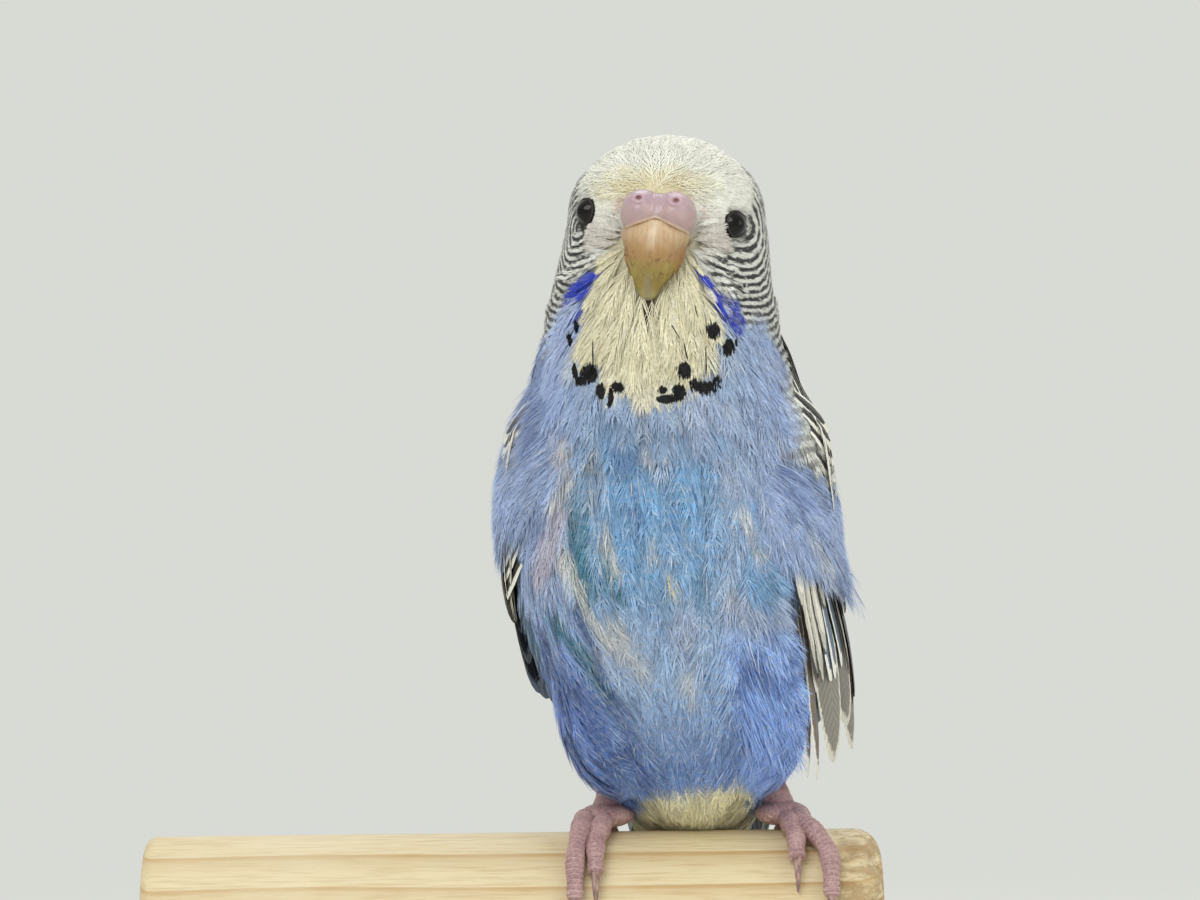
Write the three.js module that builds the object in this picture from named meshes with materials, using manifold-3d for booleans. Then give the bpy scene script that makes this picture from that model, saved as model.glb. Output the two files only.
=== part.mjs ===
// A still, life-size budgerigar that grips a short wooden perch, held up by a plain display stand.
// Millimetres, +Z up. The bird looks along -Y, and its left side is at +X.
// The origin is the middle of the underside of the stand's base.

import * as THREE from "three";
import { mergeVertices } from "three/addons/utils/BufferGeometryUtils.js";
import Module from "manifold-3d";

const wasm = await Module();
wasm.setup();

// Driving dimensions

const GAP = 0.3; // between parts that touch
const PERCH = { radius: 12, length: 102, y: -6, leftRound: 1.6, rightRound: 5 };
const BASE = { width: 116, depth: 96, height: 9, corner: 7, bevel: 1.2 };
const ROD = { radius: 2.5, spread: 36 };
const TAIL = { root: 4, rootY: 17.6, length: 82, lean: 15 }; // lean is in degrees from the plumb line
const CHIN_CUT = { front: 71, back: 74 }; // heights of the seams round the body, at its front and back
const SHOULDER_CUT = { front: 57, back: 62 };
const RUMP_CUT = { front: -22, back: 16 };
const TAIL_CLEARANCE = 4; // from the longest tail feather to the base
const BIRD_X = 21; // the bird stands towards one end of the perch
const LEAN = { shift: 3.7, from: 0, to: 36 }; // the lower body stands towards the bird's left
const HEAD = { centre: 84, rise: 12.2, crownY: -7, shift: 0.8, turn: -7, roll: 5.3 };
const EYE = { radius: 2.15, height: 84, aside: 10, angle: -43, sink: 0.75, socket: 2.5 };
const LID = { radius: 2.85, thick: 0.42 };
const CERE = { halfWidth: 2.85, halfDepth: 3.5, halfHeight: 3.75, aside: 2.35, splay: 12, nostril: 0.5 };
const THIGH = { halfWidth: 7, halfDepth: 8.4, halfHeight: 12.4, tilt: 24, splay: 9 };
const TARSUS = { radius: 1.25, foot: 1.6, ankle: 9.5, back: 2.6 };
const FOOT = { halfWidth: 2.5, halfLength: 2.7, halfHeight: 1.7, over: 0.55 };
const TOE = { radius: 1.2, tip: 0.85, scute: 0.18, pitch: 2.1 };
const CLAW = { length: 5.5, radius: 0.72, root: 1, tip: 0.16, arch: 0.55 };

const degrees = Math.PI / 180;
const tailDrop = TAIL.length * Math.cos(TAIL.lean * degrees) - TAIL.root;
const PERCH_TOP = BASE.height + tailDrop + TAIL_CLEARANCE;

// The plumage outline without the wings, from the eyes down: height above the perch, half width, front
// and back.
const OUTLINE = [
  [84, 13.5, -20.1, 7],
  [80, 14.2, -19.9, 7.4],
  [76, 15, -20.4, 7.9],
  [72, 16, -22, 8.4],
  [67, 17, -23.7, 9],
  [62, 17.9, -24.6, 10],
  [56, 18.9, -25.2, 11.4],
  [48, 19.9, -25.6, 13.2],
  [40, 20.2, -25.2, 15],
  [32, 19.4, -23.6, 17],
  [24, 17.6, -20.6, 18.9],
  [17, 15.6, -16.8, 20.4],
  [11, 13.2, -12.4, 21.6],
  [6, 11, -7.2, 22.5],
  [3, 9.6, -2.2, 23.1],
  [0, 8.2, 5, 23.7],
  [-3, 7, 10.6, 24.3],
  [-6, 6.1, 13.8, 24.8],
  [-9.5, 5, 16.6, 25.4],
  [-12, 3.4, 18.8, 25],
];

// Curves and blends

const mix = (a, b, t) => a + (b - a) * t;
const clamp01 = (t) => Math.min(1, Math.max(0, t));

function ease(value, from, to) {
  const t = clamp01((value - from) / (to - from));
  return t * t * (3 - 2 * t);
}

// A smooth curve that never overshoots, through rows sorted by falling first value.
function through(rows, column) {
  const x = rows.map((row) => row[0]);
  const y = rows.map((row) => row[column]);
  const slope = x.slice(1).map((v, i) => (y[i + 1] - y[i]) / (v - x[i]));
  const tangent = x.map((_, i) => {
    if (i === 0 || i === x.length - 1) return slope[Math.min(i, slope.length - 1)];
    const [before, after] = [slope[i - 1], slope[i]];
    return before * after <= 0 ? 0 : (2 * before * after) / (before + after);
  });
  return (at) => {
    const i = Math.min(slope.length - 1, Math.max(0, x.findIndex((v, k) => k > 0 && v <= at) - 1));
    const last = at < x[x.length - 1] ? slope.length - 1 : i;
    const span = x[last + 1] - x[last];
    const t = clamp01((at - x[last]) / span);
    return (
      y[last] * (1 + 2 * t) * (1 - t) ** 2 +
      tangent[last] * span * t * (1 - t) ** 2 +
      y[last + 1] * t * t * (3 - 2 * t) +
      tangent[last + 1] * span * t * t * (t - 1)
    );
  };
}

// Even random numbers from 0 to 1, the same in each run.
function seeded(seed) {
  let state = seed * 7919 + 1;
  return () => {
    state = (state * 48271) % 2147483647;
    return state / 2147483647;
  };
}

// Closed meshes and solids

function geometryOf(vertices, faces) {
  const geometry = new THREE.BufferGeometry();
  const numbers = vertices.flatMap((v) => v.toArray());
  geometry.setAttribute("position", new THREE.Float32BufferAttribute(numbers, 3));
  geometry.setIndex(faces.flat());
  return geometry;
}

// Six times the volume inside the faces, negative where they point inwards.
function sextupleVolume(vertices, faces) {
  const cross = new THREE.Vector3();
  return faces.reduce((sum, [a, b, c]) => {
    cross.crossVectors(vertices[b], vertices[c]);
    return sum + vertices[a].dot(cross);
  }, 0);
}

// Faces are turned to point outwards, whichever way round they were listed.
function closed(vertices, faces) {
  const inward = sextupleVolume(vertices, faces) < 0;
  const outward = inward ? faces.map(([a, b, c]) => [a, c, b]) : faces;
  return solidOf(geometryOf(vertices, outward));
}

function solidOf(geometry) {
  const bare = geometry.clone();
  bare.deleteAttribute("normal");
  bare.deleteAttribute("uv");
  const merged = mergeVertices(bare, 1e-4);
  return new wasm.Manifold(
    new wasm.Mesh({
      numProp: 3,
      vertProperties: new Float32Array(merged.attributes.position.array),
      triVerts: new Uint32Array(merged.index.array),
    }),
  );
}

// Rings of the same number of points, joined in order and closed at both ends.
function loft(rings) {
  const sides = rings[0].length;
  const vertices = rings.flat();
  const faces = [];
  for (let r = 0; r + 1 < rings.length; r++) {
    for (let i = 0; i < sides; i++) {
      const [a, b] = [r * sides + i, r * sides + ((i + 1) % sides)];
      faces.push([a, b, b + sides], [a, b + sides, a + sides]);
    }
  }
  for (const row of [0, rings.length - 1]) {
    const middle = rings[row].reduce((sum, p) => sum.add(p), new THREE.Vector3()).divideScalar(sides);
    const centre = vertices.push(middle) - 1;
    for (let i = 0; i < sides; i++) {
      const [a, b] = [row * sides + i, row * sides + ((i + 1) % sides)];
      faces.push(row === 0 ? [b, a, centre] : [a, b, centre]);
    }
  }
  return closed(vertices, faces);
}

// A thin plate from rows of {point, normal, thick}, split into triangles alike on both faces.
function plate(rows) {
  const columns = rows[0].length;
  const count = rows.length * columns;
  const cells = rows.flat();
  const face = (sign) => cells.map((c) => c.point.clone().addScaledVector(c.normal, (sign * c.thick) / 2));
  const vertices = [...face(1), ...face(-1)];
  const faces = [];
  for (let r = 0; r + 1 < rows.length; r++) {
    for (let c = 0; c + 1 < columns; c++) {
      const [a, b] = [r * columns + c, r * columns + c + 1];
      const [d, e] = [a + columns, b + columns];
      faces.push([a, b, e], [a, e, d]);
      faces.push([a + count, e + count, b + count], [a + count, d + count, e + count]);
    }
  }
  const rim = [];
  for (let c = 0; c < columns; c++) rim.push(c);
  for (let r = 1; r < rows.length; r++) rim.push(r * columns + columns - 1);
  for (let c = columns - 2; c >= 0; c--) rim.push((rows.length - 1) * columns + c);
  for (let r = rows.length - 2; r > 0; r--) rim.push(r * columns);
  rim.forEach((from, i) => {
    const to = rim[(i + 1) % rim.length];
    faces.push([from, to + count, to], [from, from + count, to + count]);
  });
  return closed(vertices, faces);
}

function ellipsoid(radii, segments) {
  return new THREE.SphereGeometry(1, segments, Math.round(segments * 0.6)).scale(...radii);
}

function moved(geometry, matrix) {
  return solidOf(geometry.clone().applyMatrix4(matrix));
}

function placed(solid, matrix) {
  return solid.transform(Array.from(matrix.elements));
}

function joined(solids) {
  return wasm.Manifold.union(solids);
}

// The largest closed surface, which drops loose scraps and fills what fusing seals.
function largest(solid) {
  const bodies = solid.decompose().sort((a, b) => b.volume() - a.volume());
  return bodies[0];
}

function meshOf(name, solid, material) {
  const data = largest(solid).getMesh();
  const positions = new Float32Array(data.numVert * 3);
  for (let i = 0; i < data.numVert; i++) {
    positions.set(data.vertProperties.subarray(i * data.numProp, i * data.numProp + 3), i * 3);
  }
  const geometry = new THREE.BufferGeometry();
  geometry.setAttribute("position", new THREE.BufferAttribute(positions, 3));
  geometry.setIndex(new THREE.BufferAttribute(data.triVerts, 1));
  const mesh = new THREE.Mesh(geometry, material);
  mesh.name = name;
  return mesh;
}

// Materials

function paint(color, roughness, metalness = 0) {
  return new THREE.MeshStandardMaterial({ color, roughness, metalness });
}

const MATERIALS = {
  face: paint("#e9e8dc", 0.9),
  body: paint("#7f98d8", 0.9),
  flight: paint("#4a4f58", 0.75),
  tail: paint("#2c4480", 0.75),
  cere: paint("#c9a0b4", 0.5),
  bill: paint("#d9ad84", 0.35),
  eye: paint("#140d0d", 0.08),
  foot: paint("#b98a88", 0.6),
  claw: paint("#8c6f62", 0.4),
  wood: paint("#dcc08d", 0.7),
  base: paint("#5a3c27", 0.45),
  rod: paint("#b4b6ba", 0.3, 0.9),
};

// The body

const halfWidthAt = through(OUTLINE, 1);
const frontAt = through(OUTLINE, 2);
const backAt = through(OUTLINE, 3);

function midX(z) {
  return LEAN.shift * (1 - ease(z, LEAN.from, LEAN.to)) + HEAD.shift * ease(z, 72, HEAD.centre);
}

function midY(z) {
  return z > HEAD.centre ? HEAD.crownY : (frontAt(z) + backAt(z)) / 2;
}

// A point of the plumage, by height and angle: 0 is the bird's left, 90 its back and -90 its front.
// Grow moves the surface outwards.
function bodyPoint(z, angle, grow = 0) {
  const level = Math.min(z, HEAD.centre);
  const rise = clamp01((z - HEAD.centre) / (HEAD.rise + grow));
  const round = Math.sqrt(Math.max(0, 1 - rise * rise));
  const middle = midY(z);
  const [c, s] = [Math.cos(angle * degrees), Math.sin(angle * degrees)];
  const square = s < 0 ? mix(2.12, 2.35, ease(z, 62, 82)) : 2.05;
  const across = Math.sign(c) * Math.abs(c) ** (2 / square);
  const along = Math.sign(s) * Math.abs(s) ** (2 / square);
  const centre = level === z ? middle : mix(HEAD.crownY, midY(HEAD.centre), round);
  const reach = s < 0 ? midY(level) - frontAt(level) : backAt(level) - midY(level);
  const x = (halfWidthAt(level) + grow) * round * across;
  const y = (reach + grow) * round ** 0.9 * along;
  const turn = HEAD.turn * degrees * ease(z, 58, 78);
  return new THREE.Vector3(
    midX(z) + x * Math.cos(turn) - y * Math.sin(turn),
    centre + x * Math.sin(turn) + y * Math.cos(turn),
    z,
  );
}

function bodyNormal(z, angle) {
  const step = 0.4;
  const up = bodyPoint(z + step, angle).sub(bodyPoint(z - step, angle));
  const round = bodyPoint(z, angle + 1).sub(bodyPoint(z, angle - 1));
  return round.cross(up).normalize();
}

function bodySolid(grow) {
  const heights = [];
  const [sides, rows, capRows] = [30, 18, 6];
  const bottom = OUTLINE[OUTLINE.length - 1][0] - grow;
  for (let i = 1; i <= capRows; i++) {
    heights.push(HEAD.centre + (HEAD.rise + grow) * Math.cos((i / (capRows + 1)) * 0.5 * Math.PI));
  }
  for (let i = 0; i <= rows; i++) heights.push(mix(HEAD.centre, bottom, (i / rows) ** 1.08));
  const ring = (z) =>
    Array.from({ length: sides }, (_, i) => bodyPoint(z, (360 * (i + 0.5)) / sides, grow));
  return loft(heights.map(ring));
}

// A large block over the tilted plane of a cut. Lift moves its lower face up.
function above(cut, lift = 0) {
  const [frontY, backY, size] = [-26, 20, 260];
  const block = new THREE.BoxGeometry(size, size, size).translate(0, 0, size / 2 + lift);
  block.rotateX(Math.atan2(cut.back - cut.front, backY - frontY));
  return solidOf(block.translate(0, (frontY + backY) / 2, (cut.front + cut.back) / 2));
}

function bodyParts() {
  const whole = bodySolid(0);
  return {
    head: whole.intersect(above(CHIN_CUT)),
    neck: whole.subtract(above(CHIN_CUT, -GAP)).intersect(above(SHOULDER_CUT)),
    torso: whole.subtract(above(SHOULDER_CUT, -GAP)).intersect(above(RUMP_CUT)),
    rump: whole.subtract(above(RUMP_CUT, -GAP)),
  };
}

// The head

// A frame on the face, tilted and turned as the head is: x to the bird's left, y to the back, z up.
function faceFrame() {
  const origin = bodyPoint(HEAD.centre, -90);
  const turn = new THREE.Matrix4().makeRotationZ(HEAD.turn * degrees);
  const roll = new THREE.Matrix4().makeRotationY(HEAD.roll * degrees);
  return new THREE.Matrix4().makeTranslation(origin.x, origin.y, origin.z).multiply(turn).multiply(roll);
}

// A frame at the middle of an eyeball, z out of the head. Out is 1 on the bird's left.
function eyeFrame(out) {
  const height = EYE.height - out * Math.sin(HEAD.roll * degrees) * EYE.aside;
  const angle = out > 0 ? EYE.angle : -180 - EYE.angle;
  const point = bodyPoint(height, angle);
  const normal = bodyNormal(height, angle);
  const centre = point.addScaledVector(normal, -EYE.sink);
  const turn = new THREE.Quaternion().setFromUnitVectors(new THREE.Vector3(0, 0, 1), normal);
  return new THREE.Matrix4().compose(centre, turn, new THREE.Vector3(1, 1, 1));
}

function headSolid(head) {
  return [-1, 1].reduce((solid, out) => {
    const frame = eyeFrame(out);
    const lid = new THREE.TorusGeometry(LID.radius, LID.thick, 5, 16).scale(1, 1, 1.3);
    const socket = ellipsoid([EYE.socket, EYE.socket, EYE.socket], 12);
    return solid.add(moved(lid.translate(0, 0, EYE.sink), frame)).subtract(moved(socket, frame));
  }, head);
}

// Level slices of the bill in the face's frame: height, half width, front and back.
const UPPER_BILL = [
  [2.6, 2.6, -2, 3],
  [1.2, 4.1, -3.7, 3],
  [-0.6, 4.7, -4.7, 3],
  [-2.6, 4.7, -5.1, 3],
  [-4.4, 3.9, -4.9, 1.2],
  [-6, 2.9, -4.4, -0.8],
  [-7.6, 1.9, -3.6, -1.2],
  [-9.2, 1.1, -2.5, -0.9],
  [-10.6, 0.4, -1.5, -0.7],
];
const LOWER_BILL = [
  [-3.4, 4.3, -2.4, 3],
  [-5.4, 4.1, -2.4, 3],
  [-7.2, 3.3, -2.2, 3],
  [-8.8, 2.3, -1.9, 3],
  [-9.8, 0.9, -1.4, 3],
];

function billSolid(rows, grow = 0) {
  const [width, front, back] = [1, 2, 3].map((column) => through(rows, column));
  const [sides, steps] = [12, 10];
  const rings = Array.from({ length: steps + 1 }, (_, k) => {
    const z = mix(rows[0][0] + grow, rows[rows.length - 1][0] - grow, k / steps);
    const level = Math.min(rows[0][0], Math.max(rows[rows.length - 1][0], z));
    const middle = mix(front(level), back(level), 0.45);
    return Array.from({ length: sides }, (_, i) => {
      const angle = (2 * Math.PI * (i + 0.5)) / sides;
      const reach = Math.sin(angle) < 0 ? middle - front(level) : back(level) - middle;
      const keel = 1 - 0.12 * Math.abs(Math.cos(angle)) * (Math.sin(angle) < 0 ? 1 : 0);
      return new THREE.Vector3(
        (width(level) + grow) * Math.cos(angle) * keel,
        middle + (reach + grow) * Math.sin(angle),
        z,
      );
    });
  });
  return loft(rings);
}

// Two waxy lobes side by side over the bill, each with a nostril.
function cereSolid(frame, grow = 0) {
  const lobe = (out) => {
    const shape = ellipsoid([CERE.halfWidth + grow, CERE.halfDepth + grow, CERE.halfHeight + grow], 12);
    return solidOf(shape.rotateY(-out * CERE.splay * degrees).translate(out * CERE.aside, -1.1, 0.95));
  };
  const nostril = (out) => {
    const pit = new THREE.CylinderGeometry(CERE.nostril, CERE.nostril, 4, 10);
    return solidOf(pit.rotateX(-14 * degrees).translate(out * 2.55, -4.2, 2.3));
  };
  const bulbs = joined([lobe(-1), lobe(1)]);
  const pitted = grow > 0 ? bulbs : bulbs.subtract(joined([nostril(-1), nostril(1)]));
  return placed(pitted, frame);
}

// The cere and both halves of the bill, cut clear of the head and of each other.
function faceParts(room) {
  const frame = faceFrame();
  const upperRoom = placed(billSolid(UPPER_BILL, GAP), frame);
  const cere = cereSolid(frame).subtract(room);
  const upper = placed(billSolid(UPPER_BILL), frame).subtract(room).subtract(cereSolid(frame, GAP));
  const lower = placed(billSolid(LOWER_BILL), frame).subtract(room).subtract(upperRoom);
  return { cere, upper, lower };
}

// Feathers

// A vane over a surface. The function path gives a point and a normal at t, which runs from root to tip.
// Rise lifts the right edge of the vane, as seen along its way, and lowers the left one.
function vane(path, { width, tip = 0.3, root = 0.6, thick = 0.6, rise = 0, cuts = [0, 0.65, 1] }) {
  const widthAt = (t) => width * mix(root, 1, ease(t, 0, 0.4)) * mix(1, tip, clamp01((t - 0.6) / 0.4) ** 2);
  const rows = cuts.map((t) => {
    const { point, normal } = path(t);
    const ahead = t < 1 ? path(t + 0.02).point.sub(point) : point.clone().sub(path(t - 0.02).point);
    const across = ahead.cross(normal).normalize();
    return [-1, 1].map((share) => ({
      point: point
        .clone()
        .addScaledVector(across, (share * widthAt(t)) / 2)
        .addScaledVector(normal, share * rise),
      normal,
      thick: t === 1 ? thick * 0.7 : thick,
    }));
  });
  return plate(rows);
}

// The wings

// Half width of the folded wing at each height. The left wing hangs looser than the right one.
const WING_HEIGHTS = [70, 62, 54, 44, 34, 26, 14, 0, -30];
const LEFT_HALF_WIDTHS = [17, 18.4, 20.6, 21.6, 22.8, 24.2, 24.2, 22, 15];
const RIGHT_HALF_WIDTHS = [17, 18.4, 20.6, 21.2, 20.8, 20, 18.2, 16.6, 12];

// Each tier of a wing runs from its leading edge over the back. Roots and tips are given as
// [height, angle] from the first feather to the last, lift is the height of a feather's root and tip
// over the wing, and bend is the curve of its path.
const PRIMARIES = {
  count: 4,
  width: 7,
  rise: 0.5,
  lift: [-1.2, 0.7],
  bend: 0.62,
  cuts: [0, 0.3, 0.75, 1],
  roots: [[46, -10], [44, 20]],
  tips: [[-15, 62], [-21, 67], [-24, 71], [-22, 75], [-16, 79], [-4, 82]],
};
const SECONDARIES = {
  count: 7,
  width: 8.4,
  rise: 0.6,
  lift: [-0.3, 0.5],
  bend: 0.9,
  cuts: [0, 0.35, 0.75, 1],
  roots: [[46, -12], [48, 64]],
};
const PRIMARY_COVERTS = {
  count: 2,
  width: 6,
  rise: 0.5,
  lift: [0.3, 1],
  bend: 1,
  roots: [[52, -18], [50, -8]],
  tips: [[34, -14], [29, -8]],
};
const GREATER_COVERTS = {
  count: 7,
  width: 8,
  rise: 0.6,
  lift: [0.4, 1.3],
  bend: 1,
  roots: [[54, -14], [56, 60]],
  tips: [[32, -8], [29, 12], [28, 36], [31, 60], [36, 78]],
};
const MEDIAN_COVERTS = {
  count: 6,
  width: 8,
  rise: 0.6,
  lift: [0.2, 2],
  bend: 1,
  roots: [[61, -12], [64, 58]],
  tips: [[44, -12], [41, 12], [41, 36], [46, 66]],
};
const LESSER_COVERTS = {
  count: 4,
  width: 8.4,
  rise: 0.6,
  lift: [-0.6, 2.3],
  bend: 1,
  roots: [[66, 2], [70, 50]],
  tips: [[54, -8], [51, 20], [54, 58]],
};

const COVERTS = [PRIMARY_COVERTS, GREATER_COVERTS, MEDIAN_COVERTS, LESSER_COVERTS];

// The secondaries of the loose wing hang lower at its leading edge.
const LEFT_SECONDARY_TIPS = [[20, -5], [13, 6], [8, 20], [7, 38], [9, 54], [13, 70], [18, 82]];
const RIGHT_SECONDARY_TIPS = [[28, -4], [22, 8], [18, 26], [14, 44], [12, 60], [14, 73], [18, 82]];

function wingOf(out, halfWidths, secondaryTips) {
  const width = through(WING_HEIGHTS.map((z, i) => [z, halfWidths[i]]), 1);
  const secondaries = { ...SECONDARIES, tips: secondaryTips };
  return { out, width, tiers: [PRIMARIES, secondaries, ...COVERTS] };
}

const WINGS = {
  left: wingOf(1, LEFT_HALF_WIDTHS, LEFT_SECONDARY_TIPS),
  right: wingOf(-1, RIGHT_HALF_WIDTHS, RIGHT_SECONDARY_TIPS),
};
const WING_PAD = { top: 71, bottom: 30, rim: 0.6, crown: 3.4, sink: 0.5 };

// A point over the folded wing, by height and angle: 0 is the bird's side, 90 its back.
function wingPoint(wing, z, angle, off = 0) {
  const level = Math.max(z, TAIL.root);
  const trail = (level - z) * Math.tan(TAIL.lean * degrees) * 0.5;
  const middle = midY(level) + 1.5;
  const [c, s] = [Math.cos(angle * degrees), Math.sin(angle * degrees)];
  const reach = s < 0 ? middle - frontAt(level) - 1 : backAt(level) - middle + 2.4;
  return new THREE.Vector3(
    midX(z) + wing.out * (wing.width(z) + off) * c,
    middle + trail + (reach + off) * s,
    z,
  );
}

function wingNormal(wing, z, angle) {
  const up = wingPoint(wing, z + 0.5, angle).sub(wingPoint(wing, z - 0.5, angle));
  const round = wingPoint(wing, z, angle + 1).sub(wingPoint(wing, z, angle - 1));
  const normal = up.cross(round).normalize();
  const outward = wingPoint(wing, z, angle, 1).sub(wingPoint(wing, z, angle));
  return normal.dot(outward) < 0 ? normal.negate() : normal;
}

// The place along a line of [height, angle] pairs.
function along(line, t) {
  const at = t * (line.length - 1);
  const i = Math.min(line.length - 2, Math.floor(at));
  return [0, 1].map((k) => mix(line[i][k], line[i + 1][k], at - i));
}

function wingTier(wing, tier) {
  return Array.from({ length: tier.count }, (_, i) => {
    const u = i / (tier.count - 1);
    const [rootZ, rootAngle] = along(tier.roots, u);
    const [tipZ, tipAngle] = along(tier.tips, u);
    const path = (t) => {
      const z = mix(rootZ, tipZ, t);
      const angle = mix(rootAngle, tipAngle, Math.max(0, t) ** tier.bend);
      const off = mix(...tier.lift, t);
      return { point: wingPoint(wing, z, angle, off), normal: wingNormal(wing, z, angle) };
    };
    return vane(path, { width: tier.width, rise: wing.out * tier.rise, cuts: tier.cuts });
  });
}

// The flesh of the wing: a pad that thins to its rim.
function wingPad(wing) {
  const [rows, columns] = [7, 7];
  return plate(
    Array.from({ length: rows }, (_, r) => {
      const v = r / (rows - 1);
      const z = mix(WING_PAD.top, WING_PAD.bottom, v);
      const crown = Math.sin(Math.PI * v);
      const leading = mix(24, 12, v) - 38 * crown ** 0.6;
      const trailing = mix(34, 40, v) + 34 * crown;
      return Array.from({ length: columns }, (_, c) => {
        const u = c / (columns - 1);
        const angle = mix(leading, trailing, u);
        const thick = WING_PAD.rim + WING_PAD.crown * Math.sqrt(Math.sin(Math.PI * u) * crown);
        const point = wingPoint(wing, z, angle, -WING_PAD.sink);
        return { point, normal: wingNormal(wing, z, angle), thick };
      });
    }),
  );
}

// Each wing keeps to its own side of the bird.
function wingSolid(wing, room) {
  const feathers = wing.tiers.flatMap((tier) => wingTier(wing, tier));
  const size = 200;
  const far = new THREE.BoxGeometry(size, size, size);
  far.translate(LEAN.shift - wing.out * (size / 2 - GAP), 0, OUTLINE[0][0] / 2);
  return joined([wingPad(wing), ...feathers]).subtract(room).subtract(solidOf(far));
}

// The tail

const TAIL_PAIRS = [
  { length: TAIL.length, width: 8.6, fan: -0.7, aside: 1.6, tip: 0.12 },
  { length: 63, width: 7.4, fan: 3.2, aside: 2.6, tip: 0.16 },
  { length: 56, width: 7.2, fan: 5.4, aside: 3.5, tip: 0.18 },
  { length: 49, width: 7, fan: 7.6, aside: 4.3, tip: 0.2 },
  { length: 43, width: 6.6, fan: 9.6, aside: 5, tip: 0.22 },
  { length: 37, width: 6.2, fan: 11.6, aside: 5.6, tip: 0.24 },
];
const TAIL_STEP = 0.45; // each pair lies this much below the pair inside it
const TAIL_COVERTS = [
  { length: 26, width: 7.4, fan: 0, aside: 0, depths: [4, 1.35] },
  { length: 22, width: 7.4, fan: 4, aside: 3, depths: [3.4, 1.3] },
  { length: 17, width: 7, fan: 8, aside: 5, depths: [3, 1.25] },
  { length: 30, width: 8, fan: 0, aside: 0, depths: [-4.2, -3.6] },
  { length: 26, width: 7.4, fan: 4, aside: 3.2, depths: [-3.8, -3.5] },
  { length: 20, width: 7, fan: 8, aside: 5, depths: [-3, -3.4] },
];
const TAIL_ROOM = { halfWidth: 13.5, halfDepth: 6.6, halfLength: 24, down: 7, width: 40, depth: 5.2 };

// A point by its distance down the tail, its offset to the left, and its depth towards the back.
function tailPoint(down, aside, depth = 0) {
  const [c, s] = [Math.cos(TAIL.lean * degrees), Math.sin(TAIL.lean * degrees)];
  return new THREE.Vector3(
    LEAN.shift + aside,
    TAIL.rootY + down * s + depth * c,
    TAIL.root - down * c + depth * s,
  );
}

const tailNormal = tailPoint(0, 0, 1).sub(tailPoint(0, 0, 0));

function tailVane({ start = 0, length, fan, aside, depths, ...shape }) {
  const lean = Math.sin(fan * degrees);
  const path = (t) => {
    const down = (length - start) * t;
    const point = tailPoint(start + down, aside + down * lean, mix(...depths, t));
    return { point, normal: tailNormal };
  };
  return vane(path, shape);
}

function tailSolid(room) {
  const feathers = TAIL_PAIRS.flatMap(({ fan, aside, ...shape }, i) =>
    [-1, 1].map((out) => {
      const depth = -i * TAIL_STEP + out * 0.1;
      const rise = i === 0 ? 0 : out * 0.2;
      return tailVane({ ...shape, fan: out * fan, aside: out * aside, depths: [depth, depth], rise });
    }),
  );
  const quills = ellipsoid([6, 1.1, 12], 14);
  quills.rotateX(TAIL.lean * degrees).translate(...tailPoint(17, 0, -1.1).toArray());
  return joined([...feathers, solidOf(quills)]).subtract(room);
}

// The part of a covert that lies in or below the rump.
function belowRump(covert) {
  return covert.subtract(above(RUMP_CUT, -GAP));
}

// Coverts over and under the root of the tail, which grow from the rump.
function tailCoverts() {
  return TAIL_COVERTS.flatMap(({ fan, aside, ...shape }) =>
    (aside === 0 ? [1] : [-1, 1]).map((out) =>
      tailVane({ ...shape, start: 5, fan: out * fan, aside: out * aside, tip: 0.35 }),
    ),
  );
}

// Space round the coverts and the tail that the wings stay out of.
function tailRoom() {
  const { halfWidth, halfDepth, halfLength, down, width, depth } = TAIL_ROOM;
  const middle = -1.6;
  const half = TAIL.length / 2;
  const round = ellipsoid([halfWidth, halfDepth, halfLength], 16);
  round.rotateX(TAIL.lean * degrees).translate(...tailPoint(down, 0, middle).toArray());
  const flat = new THREE.BoxGeometry(width, depth, TAIL.length).rotateX(TAIL.lean * degrees);
  flat.translate(...tailPoint(down + half, 0, middle).toArray());
  return solidOf(round).add(solidOf(flat));
}

// The legs

// A tube of changing radius along points, closed at both ends.
function tube(stations, sides) {
  const rings = stations.map(({ point, radius, up, flat = 1 }, i) => {
    const ahead = stations[Math.min(i + 1, stations.length - 1)].point;
    const behind = stations[Math.max(i - 1, 0)].point;
    const way = ahead.clone().sub(behind).normalize();
    const across = way.clone().cross(up).normalize();
    const rise = across.clone().cross(way).normalize();
    return Array.from({ length: sides }, (_, k) => {
      const angle = (2 * Math.PI * (k + 0.5)) / sides;
      return point
        .clone()
        .addScaledVector(across, radius * Math.cos(angle))
        .addScaledVector(rise, radius * flat * Math.sin(angle));
    });
  });
  return loft(rings);
}

// The feathered thigh. Grow moves its surface outwards.
function thighSolid(foot, grow = 0) {
  const sizes = [THIGH.halfWidth, THIGH.halfDepth, THIGH.halfHeight];
  const shape = ellipsoid(sizes.map((size) => size + grow), 14);
  shape.rotateX(THIGH.tilt * degrees).rotateY(THIGH.splay * degrees * Math.sign(foot.thigh[0]));
  return solidOf(shape.translate(...foot.thigh));
}

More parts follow.
